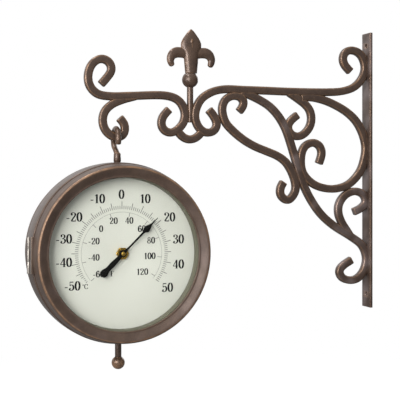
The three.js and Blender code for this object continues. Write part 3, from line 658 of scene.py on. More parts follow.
def keep_largest(made):
    """Drops the loose ends that a cut leaves behind."""
    shape = bmesh.new()
    shape.from_mesh(made.data)
    left, groups = set(shape.verts), []
    while left:
        todo, group = [next(iter(left))], set()
        while todo:
            vert = todo.pop()
            if vert in left:
                left.discard(vert)
                group.add(vert)
                todo += [e.other_vert(vert) for e in vert.link_edges]
        groups.append(group)
    groups.sort(key=len)
    small = [v for group in groups[:-1] for v in group]
    bmesh.ops.delete(shape, geom=small, context="VERTS")
    shape.to_mesh(made.data)
    shape.free()


def rod(name, node, fatter=0.0, ends=CROPPED, material=bronze):
    section = rolled_bar(ROD_WIDE + 2 * fatter, ROD_DEEP + 2 * fatter, ROD_ROUND + fatter)
    return solid(name, *swept(bend_line(SCROLLS[node], ROD_STEP, ROD_EASED), section, ends), material)


def block(name, low, high):
    corners = list(itertools.product(*zip(low, high)))
    faces = [(0, 1, 3, 2), (4, 6, 7, 5), (0, 4, 5, 1), (2, 3, 7, 6), (0, 2, 6, 4), (1, 5, 7, 3)]
    return solid(name, corners, faces, bronze)


def cutter_for(node):
    if node in SCROLLS:
        return rod("cutter", node, HAIRLINE, 0)
    low, high = box_of(node)
    return block("cutter", low - HAIRLINE, high + HAIRLINE)


for node, cutters in WHO_CUTS.items():
    # The spine and foot get the dusty bronze, whose grey is partly painted light.
    wears = dusty_bronze if node in ("spine", "foot_scroll") else bronze
    made = rod(node.replace("_scroll", "") + "_rod", node, material=wears)
    for cutter in cutters:
        combine(made, cutter_for(cutter))
    if cutters:
        keep_largest(made)
    tidy_mesh(made)
    fit(made, node)
print("rods:", len(WHO_CUTS))

# %% [markdown]
# ## Turned pieces
# Bezels, band, glass, dials, ball and pins are all round, so each is a profile spun about its line.
# The profile's corners are rounded first: a corner with no radius catches no light and is what makes
# computer drawings look like computer drawings.

# %% Spinning a profile
DRUM = (HEAD_X, HEAD_Z)
SIDES = 192
ON_AXIS = 1e-6
ALMOST_STRAIGHT = -0.97


def cylinder(radius, low, high, bore=0):
    """The profile of a plain cylinder, or of a tube."""
    return [(bore, low), (radius, low), (radius, high), (bore, high)]


def soften(profile, radius):
    """Each corner of the profile becomes a short curve that starts radius before it."""
    p, curve = np.array(profile, float), []
    for i, here in enumerate(p):
        into, out = p[i - 1] - here, p[(i + 1) % len(p)] - here
        a, b = np.linalg.norm(into), np.linalg.norm(out)
        if here[0] < ON_AXIS or float(into @ out) / (a * b) < ALMOST_STRAIGHT:
            curve.append(here)
            continue
        start = here + into / a * min(radius, 0.42 * a)
        end = here + out / b * min(radius, 0.42 * b)
        for k in range(4):
            t = k / 3
            curve.append(start * (1 - t) ** 2 + here * 2 * t * (1 - t) + end * t * t)
    return np.array(curve)


def spun(name, profile, material, axis="Y", at=DRUM, sides=SIDES):
    """A solid of turning. The profile is (radius, place along the axis), at is the line's place."""
    points, rings = [], []
    across, up = circle(sides)
    for radius, along in profile:
        count = 1 if radius < ON_AXIS else sides
        rings.append(range(len(points), len(points) + count))
        points += [(radius * c, radius * s, along) for c, s in zip(across[:count], up[:count])]
    faces = []
    for one, two in zip(rings, rings[1:] + rings[:1]):
        if len(one) == 1 and len(two) == 1:
            continue
        for k in range(sides):
            n = (k + 1) % sides
            if len(one) == 1:
                faces.append((one[0], two[k], two[n]))
            elif len(two) == 1:
                faces.append((one[k], one[n], two[0]))
            else:
                faces.append((one[k], one[n], two[n], two[k]))
    x, y, z = np.array(points).T
    places = (x + at[0], z, y + at[1]) if axis == "Y" else (x + at[0], y + at[1], z)
    return solid(name, np.column_stack(places), faces, material)


print("a softened square has", len(soften(cylinder(2, 0, 1, 1), 0.4)), "points")

# %% [markdown]
# ## The drum: band and bezels
# The band is rolled sheet, slightly crowned. The bezel is a casting: a worn outer ridge, a hollow
# face that falls towards the glass, and a raised lip round the opening. The ridge's copper line is
# partly wear and partly a painted highlight, brighter on the side towards the lamps. That hollow is
# what gives the dark top and the pale right side of the ring under one lamp.

# %% Band and bezels
FACES = (("front", -1), ("rear", 1))
BAND_HALF = [(81, 16.9), (83.3, 16.9), (83.9, 15.4), (83.5, 13.4), (84.1, 8), (84.2, 3)]
BAND = [(r, -y) for r, y in BAND_HALF] + BAND_HALF[::-1]
CAST = [
    (77.6, 17.3), (80.9, 17.3), (81.0, 20.1), (82.8, 20.4), (82.7, 21.6), (82.0, 24.5), (81.5, 30.5),
    (81.2, 33.6), (80.5, 35.7), (79.5, 36.35), (78.4, 36.3), (77.0, 35.7), (75.2, 34.7), (73.4, 33.7),
    (71.8, 33.0), (71.0, 33.1), (70.2, 32.9), (70.0, 31.5), (77.6, 31.5),
]
# Depth up to which the bezel is darkened, as painted shade in its groove.
SEAM_EDGE = 20.35
KEPT_EDGE_BEND = 0.12


def protect(made, radius, depth=30):
    """No hand rubs the finish inside this radius or behind this depth: the edge bend, which drives wear, painted
    highlight and painted shade, is taken back there.
    """
    for point, vert in zip(made.data.attributes["edge_bend"].data, made.data.vertices):
        x, y, z = np.array(vert.co) / MM
        if math.hypot(x - HEAD_X, z - HEAD_Z) < radius or abs(y) < depth:
            point.value *= KEPT_EDGE_BEND


def second_finish(made, material, where):
    """The faces whose middle passes the test where get another material."""
    made.data.materials.append(material)
    for face in made.data.polygons:
        face.material_index = int(where(*face.center))


def facing(profile, end, radius):
    """A softened profile, on the thermometer's side with end -1 and on the clock's with 1."""
    return soften([(r, end * y) for r, y in profile], radius)


band = spun("drum_band", soften(BAND, 0.5), bronze)
for x, radius, low, high in ((HEAD_X, 3.4, 60, 90), (DROP_X, 3.35, -90, -60)):
    hole = cylinder(radius, HEAD_Z + low, HEAD_Z + high)
    combine(band, spun("drill", hole, bronze, "Z", (x, 0), 32))
tidy_mesh(band)
protect(band, 0)
fit(band, "case_band")

for side, end in FACES:
    cast_ring = spun(side + "_ring", facing(CAST, end, 0.6), ridge_bronze)
    protect(cast_ring, 78)
    # Painted shade: the bezel's faces next to the band, in the groove, get the near-black.
    second_finish(cast_ring, painted_seam_shade, lambda x, y, z: abs(y) < SEAM_EDGE * MM)
    fit(cast_ring, side + "_bezel")
print("bezel profile points:", len(soften(CAST, 0.6)))

# %% [markdown]
# ## Glass, inner rings and dials
# Clock glass is soda-lime, 2.5 mm thick, with a ground edge. The inner wall between glass and dial is
# a sheet ring whose olive grey is partly its own colour and partly a painted reflection of the cream
# dial. Where it sits on the dial a black band stands in for the shadow line there, a painted shade.
# Each dial is printed aluminium, eggshell on both faces.

# %% Glass, reveal rings, dials
def glass_look(tree):
    """Nearly clear, a little green, with the room's soft reflection on it."""
    through = tree.node("BsdfTransparent", {}, {"Color": (0.985, 0.99, 0.985)})
    shine = tree.node("BsdfGlossy", {}, {"Color": WHITE, "Roughness": 0.04})
    edge_on = tree.node("Fresnel", {}, {"IOR": 1.45})
    smear = tree.step(tree.mottle(30), 0.4, 0.8) * 0.05
    return tree.node("MixShader", {}, {0: edge_on * (smear + 0.06), 1: through, 2: shine})


glass = material_of("clear_glass", glass_look)
# Own colour and painted reflection: the olive tint stands partly for the cream dial mirrored in the wall.
wall_colour_and_painted_reflection = finish(
    "inner_wall", moulded, (0.09, 0.086, 0.056), (0.13, 0.124, 0.084), 0.5, grain=4, depth=0.02
)
PANE = cylinder(77.2, 28.7, 31.2)
WALL = [
    (70.6, 18.7), (77.2, 18.7), (77.2, 28.4), (70.0, 28.4), (69.3, 26.0), (69.3, 19.9), (70.6, 19.9),
]
# Depth up to which the wall is black, as a painted shadow line at the dial's edge.
SHADOW_LINE_EDGE = 20.1
PRESSED_RING = cylinder(80.4, 14.4, 16.6, 70)
DIAL_BACK, DIAL_FRONT = 16.9, 18.4
for side, end in FACES:
    fit(spun(side + "_pane", facing(PANE, end, 0.5), glass), side + "_glass")
    wall_ring = spun(side + "_wall", facing(WALL, end, 0.5), wall_colour_and_painted_reflection)
    # Painted shade: the faces next to the dial are black, standing in for the shadow line where wall meets dial.
    second_finish(wall_ring, lacquer, lambda x, y, z: abs(y) < SHADOW_LINE_EDGE * MM)
    fit(wall_ring, side + "_reveal_ring")
    fit(spun(side + "_clamp", facing(PRESSED_RING, end, 0.7), steel), side + "_retainer")
for node, end in (("thermometer_dial", -1), ("clock_dial", 1)):
    disc = facing(cylinder(77.2, DIAL_BACK, DIAL_FRONT, 4.4), end, 0.25)
    fit(spun(node + "_plate", disc, cream), node)
print("dial thickness:", round(DIAL_FRONT - DIAL_BACK, 2))

# %% [markdown]
# ## Wall plate and pin
# The plate is a flat bar with two screw holes. Its corners are only just broken, so its section has a
# small radius, and its holes are drilled with the Boolean modifier, the cutter a little wider where it
# breaks their edge. The pin between the two upper curls is a plain turned rod, cut back where the
# scrolls hold it.

# %% Plate and finial pin
HOLE_Z, HOLE_R, HOLE_BROKEN = 125.0, 2.2, 0.4
plate_low, plate_high = box_of("wall_plate")
plate_x = (plate_low[0] + plate_high[0]) / 2
plate_line = [(plate_x, z) for z in np.linspace(plate_low[2], plate_high[2], 120)]
plate_section = rolled_bar(plate_high[0] - plate_low[0], plate_high[1] - plate_low[1], 0.6)
# The plate gets the dusty bronze, whose grey is partly painted light.
plate = solid("plate_bar", *swept(plate_line, plate_section, 0.45), dusty_bronze)


def drill_along_x(z):
    """A hole with its edge broken on the room side."""
    room_side, wide = plate_low[0], HOLE_R + HOLE_BROKEN
    shape = [(0, room_side - 1), (wide, room_side - 1), (wide, room_side)]
    shape += [(HOLE_R, room_side + HOLE_BROKEN), (HOLE_R, 2), (0, 2)]
    cutter = spun("drill", shape, dusty_bronze, "Z", (0, 0), 32)
    cutter.data.transform(Matrix.Translation((0, 0, z * MM)) @ Matrix.Rotation(math.pi / 2, 4, "Y"))
    return cutter


for z in (HOLE_Z, -HOLE_Z):
    combine(plate, drill_along_x(z))
tidy_mesh(plate)
fit(plate, "wall_plate")

PIN_R, PIN_FOOT, SOFT_EDGE = 3.1, 45.5, 0.5
pin_top = box_of("finial_pin")[1][2]
pin_profile = soften(cylinder(PIN_R, PIN_FOOT, pin_top), SOFT_EDGE)
pin = spun("upright_pin", pin_profile, turned_bronze, "Z", (PIN_X, 0), 40)
for cutter in ("main_scroll", "arm_scroll"):
    combine(pin, cutter_for(cutter))
keep_largest(pin)
tidy_mesh(pin)
fit(pin, "finial_pin")
print("plate:", np.round(plate_high - plate_low, 1), "pin up to", round(pin_top, 1))

# %% [markdown]
# ## Ball and lily
# The finial is cast in one piece: a middle petal that runs down into the stem, two curled side
# petals, and a small drop on the front with a ridge under it. Casting has no sharp inner corners, so
# the parts are made as simple lofts, joined, and skinned together with a fine voxel remesh, which
# rounds the places where they meet.

# %% Lily
BALL_Z, BALL_R, SEAT_R = 86.3, 7.8, 5
LILY_X = PIN_X + 1
LILY_FOOT = BALL_Z + math.sqrt(BALL_R**2 - SEAT_R**2) + 0.3
LILY_DEEP = 4.35
VOXEL = 0.33


def oval(x, z, wide, deep, across=(1.0, 0.0)):
    """An oval ring about (x, z), as wide as that along the way across, and so deep along y."""
    c, s = circle(32)
    return np.column_stack([LILY_X + x + wide * c * across[0], deep * s, LILY_FOOT + z + wide * c * across[1]])


def loft(rings):
    return solid("loft", *skin(rings), bronze)


MIDDLE_PETAL = [
    (0.0, 5.9, 4.3), (3, 6.2, 4.3), (6, 6.5, 4.3), (10, 6.9, 4.2), (14, 7.2, 4.3), (18, 7.7, 4.3),
    (22, 9.1, 4.1), (25.4, 10.3, 3.9), (28.4, 10.3, 3.7), (31, 9.4, 3.4), (33.5, 8.0, 3.1),
    (36, 6.2, 2.7), (38.5, 4.4, 2.2), (40.5, 2.6, 1.6), (41.8, 1.1, 0.9), (42.35, 0.3, 0.35),
]
SIDE_PETAL = [
    (2, 17.6), (6, 18.6), (10.6, 19.6), (14.8, 19.5), (18.3, 17.6), (20.4, 13.8), (20.3, 10.4), (19.3, 8.0),
]
SIDE_HALF = [4.4, 4.6, 5.0, 5.2, 5.0, 4.3, 3.6, 2.9]
DROP = [(26.6, 0.3), (28.2, 1.1), (29.6, 1.55), (31, 1.35), (32.2, 0.8), (33.2, 0.2)]
RIDGE = [(12, 0.2), (15, 0.6), (20, 0.75), (25, 0.6), (27.5, 0.3)]


def side_petal(mirror):
    line = bend_line(SIDE_PETAL, 1.0)
    at = np.linspace(0, len(SIDE_HALF) - 1, len(line))
    half = np.interp(at, range(len(SIDE_HALF)), SIDE_HALF)
    ahead, rings = heading(line), []
    for (x, z), (tx, tz), wide in zip(line, ahead, half):
        rings.append(oval(mirror * x, z, wide, 1.7 + 1.1 * wide / 5, (mirror * -tz, tx)))
    for out, share in ((0.9, 0.85), (1.5, 0.6), (1.9, 0.25)):
        end = (mirror * (x + tx * out), z + tz * out)
        rings.append(oval(*end, SIDE_HALF[-1] * share, 3 * share, (mirror * -tz, tx)))
    return loft(rings)


parts = [side_petal(1), side_petal(-1), loft([oval(0, z, w, d) for z, w, d in MIDDLE_PETAL])]
for face in (-1, 1):
    parts.append(loft([oval(0, z, w, w * 0.7) + (0, face * 3.0, 0) for z, w in DROP]))
    parts.append(loft([oval(0, z, w, 0.6) + (0, face * 3.45, 0) for z, w in RIDGE]))
lily, *others = parts
lily.name = "cast_lily"
for other in others:
    combine(lily, other, "UNION")
remesh = lily.modifiers.new("skin", "REMESH")
remesh.mode, remesh.voxel_size = "VOXEL", VOXEL * MM
relax = lily.modifiers.new("relax", "SMOOTH")
relax.factor, relax.iterations = 0.5, 3
apply_modifiers(lily)

points = np.empty(len(lily.data.vertices) * 3)
lily.data.vertices.foreach_get("co", points)
points = points.reshape(-1, 3)
points[:, 1] = np.clip(points[:, 1], -LILY_DEEP * MM, LILY_DEEP * MM)
points[:, 2] = np.clip(points[:, 2], LILY_FOOT * MM, None)
lily.data.vertices.foreach_set("co", points.ravel())
lily.data.materials.clear()
lily.data.materials.append(turned_bronze)
tidy_mesh(lily, 60)
fit(lily, "finial")
print("lily faces:", len(lily.data.polygons))

# %% Ball under the lily
def arc(radius, start, stop, steps):
    angles = np.linspace(start, stop, steps)
    return [(radius * math.cos(a), radius * math.sin(a)) for a in angles]


socket = PIN_R + 0.3
low_angle, seat_angle = -math.acos(socket / BALL_R), math.acos(SEAT_R / BALL_R)
ball_profile = [(0, pin_top + 0.3 - BALL_Z), (socket, pin_top + 0.3 - BALL_Z)]
ball_profile += arc(BALL_R, low_angle, seat_angle, 30) + [(0, BALL_R * math.sin(seat_angle))]
ball_profile = [(r, z + BALL_Z) for r, z in ball_profile]
fit(spun("finial_knob", ball_profile, turned_bronze, "Z", (PIN_X, 0), 64), "finial_ball")
print("ball radius:", BALL_R)

# %% [markdown]
# ## What the drum hangs by
# A screw eye is forged from one rod: its loop stands across the hook, and its shank goes through the
# band into a nut. Under the drum a thinner rod ends in a copper-rubbed ball, which is the weight that
# a hand steadies the drum by.

# %% Eye, rod, ball and nuts
EYE_Z, EYE_RING, EYE_WIRE, EYE_ASIDE, SHANK_R = 28.9, 9.7, 2.7, 1.2, 3.1
turns = np.linspace(-0.5, math.pi + 1.05, 25)
eye_line = [(-EYE_RING * math.cos(a), EYE_Z + EYE_RING * math.sin(a)) for a in turns]
eye_line += [(1.2, EYE_Z - EYE_RING - 2.6), (0.0, EYE_Z - EYE_RING - 5.0)]
round_wire = np.column_stack(circle(20))
loop, loop_faces = swept(bend_line(eye_line, 0.9), lambda off=0.0: (EYE_WIRE - off) * round_wire)
aside = EYE_ASIDE * np.clip((loop[:, 2] - (EYE_Z - EYE_RING - 5)) / 7, 0, 1)
loop = np.column_stack([HEAD_X - aside + loop[:, 1], loop[:, 0], loop[:, 2]])
eye = solid("eye_forging", loop, loop_faces, turned_bronze)
neck = EYE_Z - EYE_RING - 3
thread = [(SHANK_R - 0.28 * (k % 2), HEAD_Z + 73.5 + 0.4 * k) for k in range(18)]
shank = [(0, HEAD_Z + 73)] + thread + [(SHANK_R, 4.4), (SHANK_R, 7.5), (3.5, 8.1), (3.3, neck - 1)]
shank += [(2.6, neck), (0, neck)]
combine(eye, spun("shank", shank, turned_bronze, "Z", (HEAD_X, 0), 40), "UNION")
tidy_mesh(eye)
fit(eye, "screw_eye")


def hex_nut(name, flats, bore, low, high, material, at, axis="Z", chamfer=0.5):
    """A nut: a six-sided block with a bore, its corners turned off in a lathe."""
    corner = flats / math.sqrt(3)
    nut = spun(name, cylinder(corner, low, high, bore), material, axis, at, 6)
    turned = [(0, low - 1), (flats / 2, low - 0.02), (corner, low + chamfer)]
    turned += [(corner, high - chamfer), (flats / 2, high + 0.02), (0, high + 1)]
    combine(nut, spun("lathe", turned, material, axis, at, 48), "INTERSECT")
    tidy_mesh(nut, 25)
    return nut


for node, x in (("eye_nut", HEAD_X), ("drop_nut", DROP_X)):
    low, high = box_of(node)
    fit(hex_nut(node.replace("_", "_hex_"), 10, 3.4, low[2], high[2], steel, (x, 0)), node)

DROP_ROD_R, DROP_R, MOUTH_R = 3.05, 6.2, 3.35
DROP_Z = HEAD_Z - 103.6
rod_low, rod_high = box_of("drop_rod")
drop_profile = soften(cylinder(DROP_ROD_R, rod_low[2], rod_high[2]), SOFT_EDGE)
fit(spun("hanging_rod", drop_profile, turned_bronze, "Z", (DROP_X, 0), 40), "drop_rod")
drop_arc = arc(DROP_R, -math.pi / 2, math.acos(MOUTH_R / DROP_R), 30)[1:]
drop_ball = [(0, DROP_Z - DROP_R)] + [(r, z + DROP_Z) for r, z in drop_arc]
drop_ball += [(MOUTH_R, DROP_Z + 1.6), (0, DROP_Z + 1.6)]
fit(spun("hanging_ball", drop_ball, copper_ball, "Z", (DROP_X, 0), 64), "drop_ball")
print("eye points:", len(eye.data.vertices), "ball centre z:", round(DROP_Z, 1))

# %% [markdown]
# ## Hinges
# Each bezel turns on a small butt hinge at the edge of the band: one knuckle on the band, two on the
# bezel, and a pin through all three. The clock side is the thermometer side turned half round the
# drum's upright line, so one function makes both.

# %% Hinges
HINGE_OUT, HINGE_Y, HINGE_HALF = 85.8, 17.1, 16.5
KNUCKLE_R, KNUCKLE_BORE, PIVOT_R = 1.6, 1.0, 0.7
THIRD = HINGE_HALF / 3
HINGE_AT = (HEAD_X - HINGE_OUT, -HINGE_Y)


def on_hinge(name, profile, sides=28):
    """A profile with heights from the hinge's middle, spun about the hinge's line."""
    return spun(name, [(r, z + HEAD_Z) for r, z in profile], steel, "Z", HINGE_AT, sides)


def knuckle(low, high):
    return on_hinge("knuckle", soften(cylinder(KNUCKLE_R, low, high, KNUCKLE_BORE), 0.25))


def strap(inner, y0, y1, half, thick):
    x = HEAD_X - inner
    return block("strap", (x - thick, y0, HEAD_Z - half), (x, y1, HEAD_Z + half))


def rounded(made, width=0.25):
    """Breaks all sharp edges, as tumbling or a file would."""
    step = made.modifiers.new("broken_edges", "BEVEL")
    step.width, step.segments, step.limit_method = width * MM, 2, "ANGLE"
    step.angle_limit = math.radians(40)
    apply_modifiers(made)
    tidy_mesh(made)
    return made


def near_pin(x, y, z):
    return math.hypot(x / MM - HINGE_AT[0], y / MM - HINGE_AT[1]) < 1.75


def fit_hinge_part(made, side, name, node):
    """Names and fits a part; for the clock it is turned half round the drum's upright line."""
    made.name = side + name
    if side == "rear":
        middle_line = Matrix.Translation((HEAD_X * MM, 0, 0))
        made.data.transform(middle_line @ Matrix.Rotation(math.pi, 4, "Z") @ middle_line.inverted())
    fit(made, side + node)


for side, _ in FACES:
    third = THIRD - 0.15
    band_leaf = rounded(strap(83.0, -HINGE_Y + 0.6, -7, third, 2.3))
    combine(band_leaf, knuckle(-third, third), "UNION")
    tidy_mesh(band_leaf)
    second_finish(band_leaf, hinge_metal, near_pin)
    fit_hinge_part(band_leaf, side, "_band_leaf", "_case_leaf")
    top = THIRD + 0.3
    bezel_leaf = rounded(strap(80.6, -20.6, -HINGE_Y - 0.4, HINGE_HALF, 3.1))
    arm = strap(83.2, -HINGE_Y - 1.5, -HINGE_Y - 0.6, HINGE_HALF, 2.6)
    for piece in (arm, knuckle(top, HINGE_HALF), knuckle(-HINGE_HALF, -top)):
        combine(bezel_leaf, piece, "UNION")
    combine(bezel_leaf, on_hinge("room", cylinder(1.9, -THIRD, THIRD)))
    combine(bezel_leaf, on_hinge("bore", cylinder(KNUCKLE_BORE, -18, 18)))
    tidy_mesh(bezel_leaf)
    second_finish(bezel_leaf, hinge_metal, near_pin)
    fit_hinge_part(bezel_leaf, side, "_bezel_leaf", "_door_leaf")
    pivot = on_hinge("pivot", soften(cylinder(PIVOT_R, -HINGE_HALF, HINGE_HALF), 0.3), 20)
    fit_hinge_part(pivot, side, "_pivot", "_hinge_pin")
print("hinge height:", 2 * HINGE_HALF)

# %% [markdown]
# ## Thermometer works and needle
# Behind the dial sits a brass cup with a wound strip of two metals, which turns the needle as it
# warms. The needle is stamped sheet, lacquered black: a fine tip with a drop-shaped head, a thin
# shaft, a round hub and a thick tail. Its shape is one outline of a few points, smoothed and cut from
# sheet.

# %% Cup, bush, winding
cup = [(0, -8), (21, -8), (21, -16.6), (20.2, -16.6), (20.2, -8.8), (0, -8.8)]
fit(spun("brass_cup", soften(cup, 0.35), brass, sides=96), "thermometer_can")
seat = -DIAL_FRONT - 0.3
bush = hex_nut("hex_bush", 10.5, 1.5, seat - 2.7, seat, brass, DRUM, "Y", 0.8)
tube = soften(cylinder(4, -15.2, seat - 1, 1.5), 0.2)
combine(bush, spun("tube", tube, brass, sides=48), "UNION")
tidy_mesh(bush, 30)
fit(bush, "dial_bush")
spiral = []
for k in range(301):
    share = k / 300
    r, a = 4 + 13 * share, 7 * math.pi * share
    spiral.append((HEAD_X + r * math.cos(a), HEAD_Z + r * math.sin(a)))
strip, strip_faces = swept(spiral, rolled_bar(0.6, 4, 0.12, 2), 0)
fit(solid("wound_strip", strip + (0, -12.4, 0), strip_faces, winding), "bimetal_coil")
print("strip points:", len(strip))

# %% Sheet pieces, and the needle
def smooth_outline(half):
    """Mirrors half an outline, from tip to tail, and smooths it."""
    line = bend_line(half, 0.6)
    return [tuple(p) for p in line] + [(-x, z) for x, z in line[::-1] if x > ON_AXIS]


def sheet_piece(name, outline, y0, y1, degrees, edge):
    """A flat piece cut from sheet, turned clockwise as seen from the thermometer side."""
    turn = math.radians(degrees)
    c, s = math.cos(turn), math.sin(turn)
    p = [(HEAD_X + x * c + z * s, HEAD_Z - x * s + z * c) for x, z in outline]
    count = len(p)
    points = [(x, y, z) for y in (y0, y1) for x, z in p]
    faces = [tuple(range(count)), tuple(range(count, 2 * count))[::-1]]
    faces += [(k, (k + 1) % count, (k + 1) % count + count, k + count) for k in range(count)]
    return rounded(solid(name, points, faces, lacquer), edge)


def round_hub(radius):
    """The right half of a hub, from its top round to its bottom."""
    return [(radius * math.sin(a), radius * math.cos(a)) for a in np.linspace(0.5, math.pi - 0.5, 7)]


NEEDLE_DEG = 45.4
NEEDLE_Y, NEEDLE_THICK = -23.4, 0.8
upper = [
    (0.25, 46.4), (0.5, 41.0), (0.9, 38.0), (2.0, 35.2), (2.95, 32.4), (2.85, 30.4), (1.8, 29.0),
    (1.1, 27.6), (0.95, 24), (1.0, 6),
]
lower = [
    (1.8, -4.5), (2.2, -9), (2.5, -14), (2.4, -20.2), (2.8, -21.8), (3.6, -24.4), (3.3, -27.0),
    (2.1, -28.3), (0.0, -28.8),
]
outline = smooth_outline(upper + round_hub(3.3) + lower)
needle = sheet_piece("pointer_sheet", outline, NEEDLE_Y, NEEDLE_Y + NEEDLE_THICK, NEEDLE_DEG, 0.15)
spindle = cylinder(1.1, -9.6, NEEDLE_Y + 0.1)
combine(needle, spun("spindle", spindle, lacquer, sides=24), "UNION")
tidy_mesh(needle)
fit(needle, "needle")
cap = [(0, 0), (2.0, 0), (2.0, -0.8), (1.5, -1.35), (0.7, -1.55), (0, -1.6)]
cap = [(r, NEEDLE_Y - 0.3 + y) for r, y in cap]
fit(spun("brass_cap", soften(cap, 0.25), brass, sides=40), "needle_cap")
print("needle outline points:", len(outline))

# %% [markdown]
# ## Printed numbers
# The numbers on such dials are in a letter with strong thick and thin strokes, as from a broad pen.
# A font file would not be allowed here, and no font is needed: each digit is a few pen strokes along
# smooth lines. The pen draws thick when it moves up or down and thin when it moves sideways. A stroke
# is a flat strip 0.06 mm high, about what screen ink stands proud, and the strokes of one digit are
# united, so that each number is one closed solid. All numbers of the strokes are hundredths of the
# digit's height.

# %% A pen
INK = 0.06
THIN, THICK, HAIR = 5.5, 18.5, 4.5


def unit(*hundredths):
    return [n / 100 for n in hundredths]


def stroke(centre, thick, thin, closed=False):
    """Left and right edge of a stroke about a line, and whether it closes on itself."""
    if closed:
        centre = centre[:-1]
        ahead = np.roll(centre, -1, axis=0) - np.roll(centre, 1, axis=0)
        ahead /= np.linalg.norm(ahead, axis=1)[:, None]
    else:
        ahead = heading(centre)
    thick, thin = unit(thick, thin)
    width = thin + (thick - thin) * np.abs(ahead[:, 1]) ** 1.6
    aside = np.column_stack([-ahead[:, 1], ahead[:, 0]]) * width[:, None] / 2
    return centre + aside, centre - aside, closed


def pen(line, thick=THICK, thin=THIN):
    centre = np.array(line, float) / 100
    return stroke(bend_line(centre, 0.03) if len(line) > 2 else centre, thick, thin)


def bar(x0, x1, z, thick):
    """A straight stroke with square ends, lying down."""
    x0, x1, z, half = unit(x0, x1, z, thick / 2)
    return *(np.array([(x0, z + side), (x1, z + side)]) for side in (half, -half)), False


def stem(x, z0, z1, thick=THICK):
    """A straight stroke with square ends, upright."""
    x, z0, z1, half = unit(x, z0, z1, thick / 2)
    return *(np.array([(x + side, z0), (x + side, z1)]) for side in (-half, half)), False


def dot(x, z, radius):
    x, z, radius = unit(x, z, radius)
    turn = np.linspace(0, math.pi, 12)
    c, s = radius * np.cos(turn), radius * np.sin(turn)
    return np.column_stack([x + c, z + s]), np.column_stack([x + c, z - s]), False


def ring(x, z, wide, high, thick=THICK, thin=THIN):
    x, z, wide, high = unit(x, z, wide, high)
    turn = np.linspace(0, 2 * math.pi, 41)
    oval_line = np.column_stack([x + wide * np.cos(turn), z + high * np.sin(turn)])
    return stroke(bend_line(oval_line, 0.03), thick, thin, True)


SIX = [
    dot(40, 80, 7.5), pen([(43, 86), (30, 98.5), (13, 80), (7.5, 45), (11, 16), (27, 2)]),
    ring(27.5, 30, 18.5, 29),
]
GLYPHS = {
    "0": [ring(27, 50, 19.5, 48.5)],
    "1": [stem(21, 0, 98), bar(5, 37, 2, 4), pen([(3, 80), (12, 86), (20, 97)], 8)],
    "2": [
        dot(11.5, 75, 8.5), pen([(6, 76), (13, 94), (27, 98), (43, 86), (42, 66), (26, 40), (7, 7)], 16),
        bar(5, 47, 5.5, 11), stem(47, 2, 27, HAIR),
    ],
    "3": [
        dot(11, 79, 8), pen([(6, 81), (14, 94), (26, 98), (40, 88), (38, 64), (19, 53.5)], 15),
        pen([(19, 53.5), (40, 46), (45, 22), (27, 2), (12, 6), (5, 18)], 17), dot(11, 21, 8),
    ],
    "4": [stem(36, 0, 98, 16.5), pen([(36, 98), (2, 30)], 7.5, 7.5), bar(0, 53, 28, 7), bar(22, 50, 2, 4)],
    "5": [
        bar(9, 43, 92.5, 11), stem(10.5, 52, 97, HAIR),
        pen([(10, 53), (20, 63), (33, 60), (44, 42), (40, 13), (23, 1.5), (10, 7), (4.5, 18)], 17),
        dot(11, 21, 8),
    ],
    "6": SIX,
    "7": [bar(6, 48, 92.5, 11), stem(7, 74, 97, HAIR), pen([(47, 93), (33, 62), (24, 34), (22, 0)], 14)],
    "8": [ring(26.5, 75.5, 14.5, 22.5, 12), ring(26.5, 27, 18.5, 25, 14)],
    "9": [((0.54, 1.0) - left, (0.54, 1.0) - right, closed) for left, right, closed in SIX],
    "-": [bar(0, 27, 34, 10)],
    "C": [
        pen([(60, 72), (52, 93), (36, 98), (12, 80), (8, 50), (13, 18), (37, 2), (55, 10), (62, 26)], 16),
        stem(60, 68, 97, 5),
    ],
    "F": [
        stem(17, 0, 98), bar(2, 56, 96, HAIR), bar(20, 42, 52, HAIR), bar(2, 34, 2, 4),
        stem(55, 74, 97, HAIR),
    ],
    "o": [ring(14, 82, 10, 11, 6, 5)],
}
WIDTH = {"0": 0.54, "1": 0.42, "-": 0.36, "C": 0.70, "F": 0.60, "o": 0.30}
USUAL_WIDTH, BETWEEN = 0.53, 0.035


def prism(left, right, closed=False):
    """Corners (x, z, height) and faces of one stroke, 1 high over the plane."""
    count = len(left)
    flat = np.vstack([left, right])
    low = np.column_stack([flat, np.zeros(len(flat))])
    l0, r0, l1, r1 = 0, count, 2 * count, 3 * count
    faces = []
    for k in range(count if closed else count - 1):
        n = (k + 1) % count
        faces += [(l0 + k, l0 + n, r0 + n, r0 + k), (l1 + k, r1 + k, r1 + n, l1 + n)]
        faces += [(l0 + k, l1 + k, l1 + n, l0 + n), (r0 + k, r0 + n, r1 + n, r1 + k)]
    if not closed:
        faces += [(l0, r0, r1, l1), (l0 + count - 1, l1 + count - 1, r1 + count - 1, r0 + count - 1)]
    return np.vstack([low, low + (0, 0, 1)]), faces


def glyph_mesh(letter):
    """The united strokes of one letter, as points and faces."""
    made, *others = [solid("stroke", *prism(*edges), print_ink) for edges in GLYPHS[letter]]
    for other in others:
        combine(made, other, "UNION")
    points = np.array([v.co for v in made.data.vertices]) / MM
    faces = [tuple(p.vertices) for p in made.data.polygons]
    bpy.data.objects.remove(made)
    return points, faces


LETTERS = {letter: glyph_mesh(letter) for letter in GLYPHS}
print("letters:", len(LETTERS), "points in 8:", len(LETTERS["8"][0]))

# %% [markdown]
# ## The thermometer's scale
# The outer numbers are degrees Celsius, ten degrees for every 25.5 degrees of turn. The inner ring is
# Fahrenheit. Two fine rings carry the ticks between them. The clock side has hours in the same
# letter round a minute track. Each dial's whole print is two pieces, black for numbers, grey for the
# ticks, and they ride with their dial.

